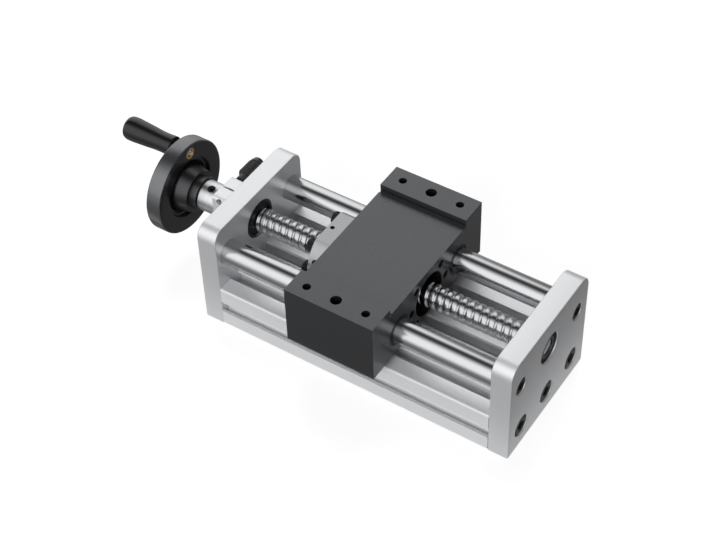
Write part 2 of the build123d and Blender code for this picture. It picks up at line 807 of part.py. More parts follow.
# Ball nut: a flange with two flats, six screw holes, an oil hole and a grease port
nut_end_x = nut_face_x + nut_length
nut_bore_radius = screw_radius + nut_bore_clearance
wiper_seat_depth = wiper_width + wiper_inset
grease_angle = radians(grease_port_angle)
grease_direction = (0, cos(grease_angle), sin(grease_angle))
flange_middle_x = nut_face_x + nut_flange_thickness / 2
with BuildPart() as ball_nut:
    with BuildSketch(across(nut_face_x)):
        Circle(nut_flange_diameter / 2)
        Rectangle(nut_flange_diameter, 2 * nut_flange_flat, mode=Mode.INTERSECT)
    extrude(amount=nut_flange_thickness)
    with BuildSketch(across(nut_face_x + nut_flange_thickness)):
        Circle(nut_body_diameter / 2)
    extrude(amount=nut_length - nut_flange_thickness)
    with BuildSketch(across(nut_face_x)):
        Circle(nut_bore_radius)
    extrude(amount=nut_length, mode=Mode.SUBTRACT)
    for face in (across(nut_face_x), across_back(nut_end_x)):
        with BuildSketch(face):
            Circle(wiper_diameter / 2 + fit_clearance)
        extrude(amount=wiper_seat_depth, mode=Mode.SUBTRACT)
    with BuildSketch(across(nut_face_x)):
        with Locations(*nut_screw_places):
            Circle(M5[0] / 2 + shank_clearance)
    extrude(amount=nut_flange_thickness, mode=Mode.SUBTRACT)
    with BuildSketch(Plane.XY.offset(axis_height + nut_flange_flat)):
        with Locations((nut_face_x + oil_hole_offset, 0)):
            Circle(oil_hole_diameter / 2)
    extrude(amount=-oil_hole_depth, mode=Mode.SUBTRACT)
    port_plane = Plane(origin=(flange_middle_x, 0, axis_height), x_dir=(1, 0, 0), z_dir=grease_direction)
    with BuildSketch(port_plane.offset(nut_flange_diameter / 2)):
        Circle(grease_port_diameter / 2)
    extrude(amount=-oil_hole_depth, mode=Mode.SUBTRACT)
save(ball_nut.part, "ball_nut")

nut_screws = []
for y, z in nut_screw_places:
    nut_screws.append(cap_screw(M5, (nut_face_x, y, axis_height + z), (1, 0, 0)))
save(Compound(children=nut_screws), "nut_screws")

wiper_starts = (nut_face_x + wiper_inset, nut_end_x - wiper_inset - wiper_width)
wiper_inner = screw_radius + wiper_clearance
wipers = [ring(start, wiper_width, wiper_diameter / 2, wiper_inner) for start in wiper_starts]
save(Compound(children=wipers), "nut_wipers")
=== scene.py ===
"""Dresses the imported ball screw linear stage: finer meshes, finishes, camera and studio light."""
import json
import math

import bmesh
import bpy
from mathutils import Matrix, Vector

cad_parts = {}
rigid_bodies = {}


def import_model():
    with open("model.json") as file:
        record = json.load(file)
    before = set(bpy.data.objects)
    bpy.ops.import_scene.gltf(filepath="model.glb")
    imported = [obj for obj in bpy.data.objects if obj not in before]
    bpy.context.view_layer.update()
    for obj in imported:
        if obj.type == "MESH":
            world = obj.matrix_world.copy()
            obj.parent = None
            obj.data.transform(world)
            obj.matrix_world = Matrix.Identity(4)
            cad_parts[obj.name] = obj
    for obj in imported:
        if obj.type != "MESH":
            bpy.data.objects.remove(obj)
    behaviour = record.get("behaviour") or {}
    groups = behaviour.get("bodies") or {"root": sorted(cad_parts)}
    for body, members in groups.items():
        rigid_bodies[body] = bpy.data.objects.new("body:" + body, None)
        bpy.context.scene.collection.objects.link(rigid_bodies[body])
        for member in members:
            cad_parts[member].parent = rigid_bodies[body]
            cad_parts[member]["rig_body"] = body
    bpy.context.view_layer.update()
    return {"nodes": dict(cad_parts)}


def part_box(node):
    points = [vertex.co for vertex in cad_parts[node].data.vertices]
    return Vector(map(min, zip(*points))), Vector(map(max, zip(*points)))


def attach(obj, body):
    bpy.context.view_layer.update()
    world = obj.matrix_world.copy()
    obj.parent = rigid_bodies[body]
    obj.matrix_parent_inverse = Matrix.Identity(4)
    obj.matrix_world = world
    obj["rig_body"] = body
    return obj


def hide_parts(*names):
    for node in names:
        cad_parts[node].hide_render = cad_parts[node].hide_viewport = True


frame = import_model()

bl_info = {
    "name": "Ball Screw Linear Stage Finish",
    "version": (1, 0, 0),
    "blender": (4, 5, 0),
    "location": "3D View > Sidebar > Linear Stage",
    "description": "Builds the visible pieces of the linear stage round its packed CAD model",
    "category": "Object",
}

MM = 0.001
NODES = frame["nodes"]

# Sizes and places of the CAD model that the finer pieces follow, in millimetres
ENDS = (-1, 1)
AXIS_Z = 53.0
AXIS = (0.0, AXIS_Z)
ROD_Y = 33.0
ROD_RADIUS = 8.0
ROD_END_X = 98.0
PLATE_OUTER_X = 107.5
BASE_SCREW_YS = (-30.0, 0.0, 30.0)
BASE_SCREW_Z = 15.0

# Mouths of the plates' holes: the radii of the counterbores and of the opening round the screw
ROD_SCREW_MOUTH = 5.5
BASE_SCREW_MOUTH = 7.0
BEARING_MOUTH = 10.0

# Cap screws: thread, length under the head, head diameter, head height, key width, key depth
CAP_SCREWS = {
    "M3": (3.0, 14.0, 5.5, 3.0, 2.5, 1.5),
    "M5": (5.0, 14.0, 8.5, 5.0, 4.0, 2.5),
    "M6": (6.0, 14.0, 10.0, 6.0, 5.0, 3.0),
    "M8": (8.0, 18.0, 13.0, 8.0, 6.0, 4.0),
}

# Where the undersides of the screw heads sit
ROD_SCREW_SEAT_X = 101.1
BASE_SCREW_SEAT_X = 99.1
CLAMP_SCREW_SEAT_X = -118.1
CLAMP_SCREW_Y = 7.0
CLAMP_SCREW_Z = 39.5
NUT_FACE_X = -43.0
NUT_SCREW_RADIUS = 19.0
NUT_SCREW_ANGLES = (-45, 0, 45)

# Ball screw: the thread's ends, its shoulders and journals, and the groove of the retaining ring.
# The shift says where along the screw the ball groove begins a turn.
THREAD_END_X = 93.0
THREAD_END_RADIUS = 6.75
LAND_RADIUS = 7.75
GROOVE_SHIFT = -2.7
SHOULDER_RADIUS = 6.25
DRIVE_SHOULDER_X = -96.0
FREE_SHOULDER_X = 98.0
JOURNAL_RADIUS = 5.0
DRIVE_JOURNAL_END_X = -155.5
RING_GROOVE_RADIUS = 4.4
RING_GROOVE_START_X = -105.02
RING_GROOVE_END_X = -104.02

# Lock knob, its lengths measured from its foot
STUD_RADIUS = 2.0
KNOB_NECK_RADIUS = 3.2
KNOB_NECK_END = 5.0
KNOB_CORE_RADIUS = 4.75
KNOB_BODY_END = 16.0
KNOB_RING_RADIUS = 4.4
KNOB_RING_END = 16.6
KNOB_CAP_RADIUS = 5.0
KNOB_CAP_END = 20.3
KNOB_CAP_END_RADIUS = 4.2
KNOB_CROWN_END = 21.4
KNOB_CROWN_RADIUS = 2.6
KNOB_END = 21.9
KNOB_KNURL_START = 5.5
KNOB_KNURL_END = 15.6

# Handwheel and its washer. The rim's paler band, partly polished metal and partly a painted highlight, fades
# in between its start and its full radius.
WHEEL_BORE = 5.02
WHEEL_BACK_X = -158.0
WHEEL_FACE_X = -147.5
WHEEL_HUB_X = -135.5
WHEEL_RADIUS = 31.5
WHEEL_RECESS_RADIUS = 9.0
WHEEL_BOSS_RADIUS = 12.5
DISH_RADIUS = 20.5
BACK_DISH_X = -156.0
DISH_FLOOR_X = -151.5
HUB_FOOT_RADIUS = 16.8
HUB_RADIUS = 13.8
COLLAR_X = -140.3
COLLAR_RADIUS = 11.2
RIM_POLISH_AND_HIGHLIGHT_START = 30.6
RIM_POLISH_AND_HIGHLIGHT_FULL = 31.3
WASHER_X = -157.5
WASHER_RADIUS = 8.5
WASHER_HOLE = 2.65

# Handle: its middle, the insert in the rim, the spindle with its domed end, and the grip on it
HANDLE_RADIUS = 25.5
HANDLE_TURN = math.radians(8.7)
HANDLE = (HANDLE_RADIUS * math.sin(HANDLE_TURN), AXIS_Z + HANDLE_RADIUS * math.cos(HANDLE_TURN))
INSERT_RADIUS = 4.0
INSERT_BORE = 2.52
SPINDLE_RADIUS = 2.5
SPINDLE_COLLAR_X = -159.5
SPINDLE_COLLAR_RADIUS = 4.5
SPINDLE_HEAD_X = -192.0
SPINDLE_HEAD_RADIUS = 4.0
SPINDLE_END_X = -194.5
DOME_TOP_X = -147.6
DOME_TOP_RADIUS = 1.0
DOME_FOOT_X = -148.4
GRIP_BORE = 2.6
GRIP_START_X = -159.8
GRIP_BASE_RADIUS = 6.7
GRIP_SIDE_LENGTH = 30.0
GRIP_BELLY_RADIUS = 7.8
GRIP_SHOULDER = (-193.6, 7.7)
GRIP_EDGE = (-195.5, 6.9)
GRIP_END_X = -195.8
GRIP_END_RADIUS = 5.6
GRIP_RECESS_X = -192.3
GRIP_RECESS_RADIUS = 4.3

# Chamfer at the plates' hole mouths, and how close to a mouth its points lie
MOUTH_CHAMFER = 0.8
ON_MOUTH_X = 0.01
ON_MOUTH_RADIUS = 0.1

# The most of an edge that a rounded corner of an outline takes
EDGE_SHARE = 0.45

# Cap screw heads: facets, the knurl's depth, start and distance from the top, and the socket's
# chamfer, mouth and end cone, the last two as shares of the key width
SCREW_STEPS = 72
SCREW_KNURL = 0.25
SCREW_KNURL_START = 0.5
SCREW_KNURL_INSET = 0.9
SOCKET_CHAMFER = 0.25
SOCKET_MOUTH_SHARE = 0.62
SOCKET_CONE_SHARE = 0.15

# Ridges of a knurl: the knob's depth, how deep a ridge is sunk, and its share of the way round
KNOB_KNURL = 0.5
RIDGE_ROOT = -0.1
RIDGE_SHARE = 0.9

# Camera, in degrees and millimetres, as the straight edges in the photograph give it
CAMERA_ANGLES = (34.4838, 45.9991, -2.0571)
CAMERA_LENS = 85.526
CAMERA_SENSOR = 36.0
CAMERA_PLACE = (378.6442, -584.3252, 780.2322)

# Studio, in metres: half the floor, the tent's radius, the corner of the object's foot with its Y
# mirrored, and the way to the tent's dark side
FLOOR_REACH = 3.0
TENT_RADIUS = 2.6
FOOT_CORNER = (0.107, 0.045, 0.0)
DARK_SIDE = (0.6, 0.8, 0.0)

# Suns: name, way towards it, width in degrees and strength
SUNS = (("key", (-0.3, 0.5, 0.95), 35.0, 1.7), ("fill", (0.14, -0.87, 0.47), 30.0, 2.3))


# Small helpers


def linear(code):
    """An sRGB hex colour as the linear colour that shaders take."""
    made = []
    for start in (0, 2, 4):
        value = int(code[start:start + 2], 16) / 255
        made.append(value / 12.92 if value <= 0.04045 else ((value + 0.055) / 1.055) ** 2.4)
    return (*made, 1.0)


def add(tree, kind, links=None, **settings):
    """Adds a node with its settings, and links or fills its inputs."""
    made = tree.nodes.new(kind)
    for name, value in settings.items():
        setattr(made, name, value)
    for socket, value in (links or {}).items():
        if isinstance(value, bpy.types.NodeSocket):
            tree.links.new(value, made.inputs[socket])
        else:
            made.inputs[socket].default_value = value
    return made


def show(mesh, name):
    """A new object with this mesh, at the origin."""
    made = bpy.data.objects.new(name, mesh)
    bpy.context.scene.collection.objects.link(made)
    return made


def plain(piece):
    """Turns a piece with modifiers into a plain mesh and removes the modifiers."""
    bpy.context.view_layer.update()
    graph = bpy.context.evaluated_depsgraph_get()
    mesh = bpy.data.meshes.new_from_object(piece.evaluated_get(graph), depsgraph=graph)
    piece.modifiers.clear()
    piece.data = mesh
    mesh.name = piece.name
    return piece


def smooth(piece, angle=35.0):
    """Smooth shading with creases where faces meet at more than the angle."""
    piece.data.shade_smooth()
    piece.data.set_sharp_from_angle(angle=math.radians(angle))
    return piece


def dress(piece, finish, *nodes):
    """Gives a piece its finish and lets it stand for CAD nodes on the body that carries them."""
    piece.data.materials.clear()
    piece.data.materials.append(finish)
    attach(piece, NODES[nodes[0]]["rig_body"])
    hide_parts(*nodes)
    return piece


def eased(outline, corner, segments=3):
    """An outline with its corners rounded. A third number at a point is its own corner size."""
    made = []
    count = len(outline)
    for place, point in enumerate(outline):
        here = Vector(point[:2])
        before = Vector(outline[place - 1][:2]) - here
        after = Vector(outline[(place + 1) % count][:2]) - here
        size = point[2] if len(point) > 2 else corner
        reach = min(size, EDGE_SHARE * before.length, EDGE_SHARE * after.length)
        if here.y == 0 or reach < 1e-4:
            made.append(here)
            continue
        start = here + before.normalized() * reach
        end = here + after.normalized() * reach
        for step in range(segments + 1):
            t = step / segments
            made.append(start * (1 - t) ** 2 + here * 2 * t * (1 - t) + end * t ** 2)
    return made


def add_ring(bm, radii, place):
    """Vertices round a line, one for each radius. place makes a point of the two lengths across it."""
    ring = []
    for step, radius in enumerate(radii):
        angle = 2 * math.pi * step / len(radii)
        spot = place(radius * math.cos(angle), radius * math.sin(angle))
        ring.append(bm.verts.new(Vector(spot) * MM))
    return ring


def bridge(bm, pairs, steps):
    """Closes the space between pairs of rings with faces. A ring of one vertex is a pole."""
    for first, second in pairs:
        if len(first) == 1 and len(second) == 1:
            continue
        for step in range(steps):
            turn = (step + 1) % steps
            corners = [first[step % len(first)], first[turn % len(first)]]
            corners += [second[turn % len(second)], second[step % len(second)]]
            bm.faces.new(list(dict.fromkeys(corners)))


def closed(bm, name):
    """A new object from a closed bmesh, its faces pointing outwards."""
    bmesh.ops.recalc_face_normals(bm, faces=bm.faces)
    mesh = bpy.data.meshes.new(name)
    bm.to_mesh(mesh)
    bm.free()
    return show(mesh, name)


def lathe(name, outline, centre=AXIS, steps=128):
    """A piece turned about a line along X, from pairs of distance and radius in millimetres."""
    bm = bmesh.new()
    rings = []
    for distance, radius in outline:
        radii = [radius] * (1 if radius == 0 else steps)
        rings.append(add_ring(bm, radii, lambda y, z: (distance, centre[0] + y, centre[1] + z)))
    bridge(bm, zip(rings, rings[1:] + rings[:1]), steps)
    return smooth(closed(bm, name))


def on_mouth(spot, hole):
    """Whether a point lies on the round mouth of a hole, given as its x, y, z and radius."""
    away = math.hypot(spot.y - hole[1], spot.z - hole[2])
    return abs(spot.x - hole[0]) < ON_MOUTH_X and abs(away - hole[3]) < ON_MOUTH_RADIUS


def refined(node, name, edge, angle=30.0, mouths=()):
    """A copy of a CAD node's mesh with its edges rounded and a chamfer at the mouths of these holes."""
    mesh = NODES[node].data.copy()
    bm = bmesh.new()
    bm.from_mesh(mesh)
    bmesh.ops.remove_doubles(bm, verts=bm.verts, dist=1e-6)
    bmesh.ops.dissolve_limit(bm, angle_limit=math.radians(0.5), verts=bm.verts, edges=bm.edges)
    rims = []
    for line in bm.edges:
        if any(all(on_mouth(vert.co / MM, hole) for vert in line.verts) for hole in mouths):
            rims.append(line)
    if rims:
        bmesh.ops.bevel(bm, geom=rims, offset=MOUTH_CHAMFER * MM, segments=1, affect="EDGES", profile=0.5)
    bm.to_mesh(mesh)
    bm.free()
    for attribute in [a for a in mesh.attributes if a.name == "custom_normal"]:
        mesh.attributes.remove(attribute)
    piece = show(mesh, name)
    piece.data.shade_smooth()
    bevel = piece.modifiers.new("edges", "BEVEL")
    bevel.width = edge * MM
    bevel.segments = 2
    bevel.limit_method = "ANGLE"
    bevel.angle_limit = math.radians(angle)
    # Normals weighted by area keep the large faces flat beside their rounded edges
    weighted = piece.modifiers.new("normals", "WEIGHTED_NORMAL")
    weighted.keep_sharp = True
    return plain(piece)


def cut(piece, cutter):
    """Takes the cutter's shape out of a piece and removes the cutter."""
    boolean = piece.modifiers.new("cut", "BOOLEAN")
    boolean.operation = "DIFFERENCE"
    boolean.solver = "EXACT"
    boolean.object = cutter
    plain(piece)
    bpy.data.objects.remove(cutter)
    return smooth(piece)


def tree_inputs(tree, sizes):
    """Declares a node tree's named inputs with their defaults, after the geometry itself."""
    tree.interface.new_socket("Geometry", in_out="INPUT", socket_type="NodeSocketGeometry")
    for name, (kind, default) in sizes.items():
        socket = tree.interface.new_socket(name, in_out="INPUT", socket_type="NodeSocket" + kind)
        if default is not None:
            socket.default_value = default
    tree.interface.new_socket("Geometry", in_out="OUTPUT", socket_type="NodeSocketGeometry")


def run_tree(piece, tree, values):
    """Runs a node tree on a piece with these inputs and keeps the result as its plain mesh."""
    modifier = piece.modifiers.new(tree.name, "NODES")
    modifier.node_group = tree
    items = tree.interface.items_tree
    keys = {item.name: item.identifier for item in items if item.in_out == "INPUT"}
    for name, value in values.items():
        modifier[keys[name]] = value
    return plain(piece)


# Finishes. Grain and tool marks are drawn 0.2 to 0.5 mm wide, coarser than the real ones, to show.


def new_finish(name):
    """An empty material with its node tree and a Principled shader on the output."""
    finish = bpy.data.materials.new(name)
    finish.use_nodes = True
    tree = finish.node_tree
    tree.nodes.clear()
    shader = add(tree, "ShaderNodeBsdfPrincipled")
    add(tree, "ShaderNodeOutputMaterial", {"Surface": shader.outputs["BSDF"]})
    return finish, tree, shader


def marked(tree, shader, where, size, softness, roughness, bump, spread):
    """Lets one noise vary the roughness and raise the surface. size is that of its marks in millimetres."""
    detail, fade = softness
    fine = {"Vector": where, "Scale": 1 / (size * MM), "Detail": detail, "Roughness": fade}
    noise = add(tree, "ShaderNodeTexNoise", fine).outputs["Fac"]
    rough = add(tree, "ShaderNodeMapRange", {
        "Value": noise, "From Min": 0.3, "From Max": 0.7,
        "To Min": roughness - spread, "To Max": roughness + spread,
    })
    tree.links.new(rough.outputs["Result"], shader.inputs["Roughness"])
    height = add(tree, "ShaderNodeBump", {"Height": noise, "Strength": bump, "Distance": size * MM})
    tree.links.new(height.outputs["Normal"], shader.inputs["Normal"])


def grained(name, colour, metallic, roughness, grain, bump, stretch=(1, 1, 1)):
    """A finish with a fine even grain, in millimetres, or lines where one axis is stretched."""
    finish, tree, shader = new_finish(name)
    shader.inputs["Base Color"].default_value = colour
    shader.inputs["Metallic"].default_value = metallic
    where = add(tree, "ShaderNodeTexCoord").outputs["Object"]
    scaled = add(tree, "ShaderNodeMapping", {"Vector": where, "Scale": stretch}).outputs["Vector"]
    marked(tree, shader, scaled, grain, (3.0, 0.6), roughness, bump, 0.05)
    return finish


def turned(name, colour, metallic, roughness, feed, bump, centre=AXIS, spread=0.05):
    """A finish with fine rings about a line along X, spaced by the feed of the tool in millimetres."""
    finish, tree, shader = new_finish(name)
    shader.inputs["Base Color"].default_value = colour
    shader.inputs["Metallic"].default_value = metallic
    where = add(tree, "ShaderNodeTexCoord").outputs["Object"]
    to_centre = (0.0, -centre[0] * MM, -centre[1] * MM)
    moved = add(tree, "ShaderNodeMapping", {"Vector": where, "Location": to_centre}).outputs["Vector"]
    parts = add(tree, "ShaderNodeSeparateXYZ", {0: moved}).outputs
    across = add(tree, "ShaderNodeCombineXYZ", {0: parts["Y"], 1: parts["Z"]}).outputs[0]
    radius = add(tree, "ShaderNodeVectorMath", {0: across}, operation="LENGTH").outputs["Value"]
    rings = add(tree, "ShaderNodeCombineXYZ", {0: parts["X"], 1: radius}).outputs[0]
    marked(tree, shader, rings, feed, (2.0, 0.5), roughness, bump, spread)
    return finish


def banded(finish, inner, outer, start, end):
    """Gives a turned finish a second colour from this radius about the screw's axis outwards."""
    tree = finish.node_tree
    shader = next(node for node in tree.nodes if node.type == "BSDF_PRINCIPLED")
    where = add(tree, "ShaderNodeTexCoord").outputs["Object"]
    line = {"Vector": where, "Location": (0.0, 0.0, -AXIS_Z * MM), "Scale": (0.0, 1.0, 1.0)}
    flat = add(tree, "ShaderNodeMapping", line).outputs[0]
    reach = add(tree, "ShaderNodeVectorMath", {0: flat}, operation="LENGTH").outputs["Value"]
    share = add(tree, "ShaderNodeMapRange", {"Value": reach, "From Min": start * MM, "From Max": end * MM})
    mixed = add(tree, "ShaderNodeMix", {"Factor": share.outputs[0], 6: inner, 7: outer}, data_type="RGBA")
    tree.links.new(mixed.outputs[2], shader.inputs["Base Color"])


def coat(node, finish):
    """Gives a CAD node's own mesh this finish."""
    for slot in NODES[node].material_slots:
        slot.material = finish


# Sizes and colours that a user may change


class StageSizes(bpy.types.PropertyGroup):
    """Sizes of the pieces that the node trees draw and of the rounded edges."""

    lead: bpy.props.FloatProperty(
        name="Lead", description="Travel of the nut in one turn of the screw",
        default=5 * MM, min=1 * MM, unit="LENGTH")
    groove_radius: bpy.props.FloatProperty(
        name="Groove radius", description="Radius of the ball groove's section",
        default=0.95 * MM, min=0.5 * MM, unit="LENGTH")
    groove_width: bpy.props.FloatProperty(
        name="Groove width", description="Width of the ball groove at the lands",
        default=1.7 * MM, min=1 * MM, unit="LENGTH")
    edge: bpy.props.FloatProperty(
        name="Broken edge", description="Size of the round on the edges of the base, plates and carriage",
        default=0.3 * MM, min=0.05 * MM, unit="LENGTH")
    knob_ridges: bpy.props.IntProperty(
        name="Knob ridges", description="Ridges of the knurl round the lock knob", default=24, min=8)
    screw_ridges: bpy.props.IntProperty(
        name="Screw head ridges", description="Ridges of the knurl round a cap screw's head",
        default=40, min=8)


class StageColours(bpy.types.PropertyGroup):
    """Colours of the finishes."""

    plate: bpy.props.FloatVectorProperty(
        name="Plates", description="Bead blasted and natural anodised aluminium",
        subtype="COLOR", size=4, default=linear("E0E1E3"))
    profile: bpy.props.FloatVectorProperty(
        name="Base", description="Extruded and natural anodised aluminium",
        subtype="COLOR", size=4, default=linear("E2E3E5"))
    chrome: bpy.props.FloatVectorProperty(
        name="Guide rods", description="Hard chrome",
        subtype="COLOR", size=4, default=linear("CDCED0"))
    steel: bpy.props.FloatVectorProperty(
        name="Ball screw", description="Hardened and ground steel",
        subtype="COLOR", size=4, default=linear("C6C7C9"))
    carriage: bpy.props.FloatVectorProperty(
        name="Carriage", description="Black anodised aluminium",
        subtype="COLOR", size=4, default=linear("5E5F61"))
    wheel: bpy.props.FloatVectorProperty(
        name="Handwheel", description="Turned aluminium, coated black",
        subtype="COLOR", size=4, default=linear("4A4A4C"))
    brass: bpy.props.FloatVectorProperty(
        name="Insert", description="Turned brass", subtype="COLOR", size=4, default=linear("D6BE8C"))


def sizes():
    """The sizes as the user has set them."""
    return bpy.context.scene.linear_stage_sizes


def colours():
    """The colours as the user has set them."""
    return bpy.context.scene.linear_stage_colours


# Trees that repeat a piece


def seats_tree():
    """Sets one screw on every seat, its axis along the seat's way, each turned by chance."""
    tree = bpy.data.node_groups.new("screws_on_seats", "GeometryNodeTree")
    tree_inputs(tree, {
        "Screw": ("Object", None), "Finish": ("Material", None),
        "Turn": ("Float", 0.5), "Seed": ("Int", 0),
    })
    given = add(tree, "NodeGroupInput").outputs
    screw = add(tree, "GeometryNodeObjectInfo", {"Object": given["Screw"]}).outputs["Geometry"]
    way = add(tree, "GeometryNodeInputNamedAttribute", {"Name": "way"}, data_type="FLOAT_VECTOR")
    lined = add(tree, "FunctionNodeAlignRotationToVector", {"Vector": way.outputs[0]}, axis="Z")
    chance = {2: 0.0, 3: given["Turn"], "Seed": given["Seed"]}
    turn = add(tree, "FunctionNodeRandomValue", chance, data_type="FLOAT").outputs[1]
    spin = add(tree, "FunctionNodeAxisAngleToRotation", {"Axis": (0, 0, 1), "Angle": turn}).outputs[0]
    turned_way = add(tree, "FunctionNodeRotateRotation",
                     {"Rotation": lined.outputs[0], "Rotate By": spin}, rotation_space="LOCAL").outputs[0]
    placed = add(tree, "GeometryNodeInstanceOnPoints",
                 {"Points": given["Geometry"], "Instance": screw, "Rotation": turned_way}).outputs[0]
    real = add(tree, "GeometryNodeRealizeInstances", {"Geometry": placed}).outputs[0]
    done = add(tree, "GeometryNodeSetMaterial", {"Geometry": real, "Material": given["Finish"]}).outputs[0]
    add(tree, "NodeGroupOutput", {"Geometry": done})
    return tree


def ridges_tree():
    """Repeats a ridge round the Z axis and joins the ridges to the piece that carries them."""
    tree = bpy.data.node_groups.new("ridges_round", "GeometryNodeTree")
    tree_inputs(tree, {
        "Ridge": ("Object", None), "Count": ("Int", 36), "Radius": ("Float", 5 * MM),
        "Finish": ("Material", None),
    })
    given = add(tree, "NodeGroupInput").outputs
    ridge = add(tree, "GeometryNodeObjectInfo", {"Object": given["Ridge"]}).outputs["Geometry"]
    ring = add(tree, "GeometryNodeMeshCircle",
               {"Vertices": given["Count"], "Radius": given["Radius"]}).outputs["Mesh"]
    spot = add(tree, "GeometryNodeInputPosition").outputs[0]
    facing = add(tree, "FunctionNodeAlignRotationToVector", {"Vector": spot}, axis="X").outputs[0]
    placed = add(tree, "GeometryNodeInstanceOnPoints",
                 {"Points": ring, "Instance": ridge, "Rotation": facing}).outputs[0]
    real = add(tree, "GeometryNodeRealizeInstances", {"Geometry": placed}).outputs[0]
    both = add(tree, "GeometryNodeJoinGeometry")
    tree.links.new(given["Geometry"], both.inputs[0])
    tree.links.new(real, both.inputs[0])
    done = add(tree, "GeometryNodeSetMaterial",
               {"Geometry": both.outputs[0], "Material": given["Finish"]}).outputs[0]
    add(tree, "NodeGroupOutput", {"Geometry": done})
    return tree


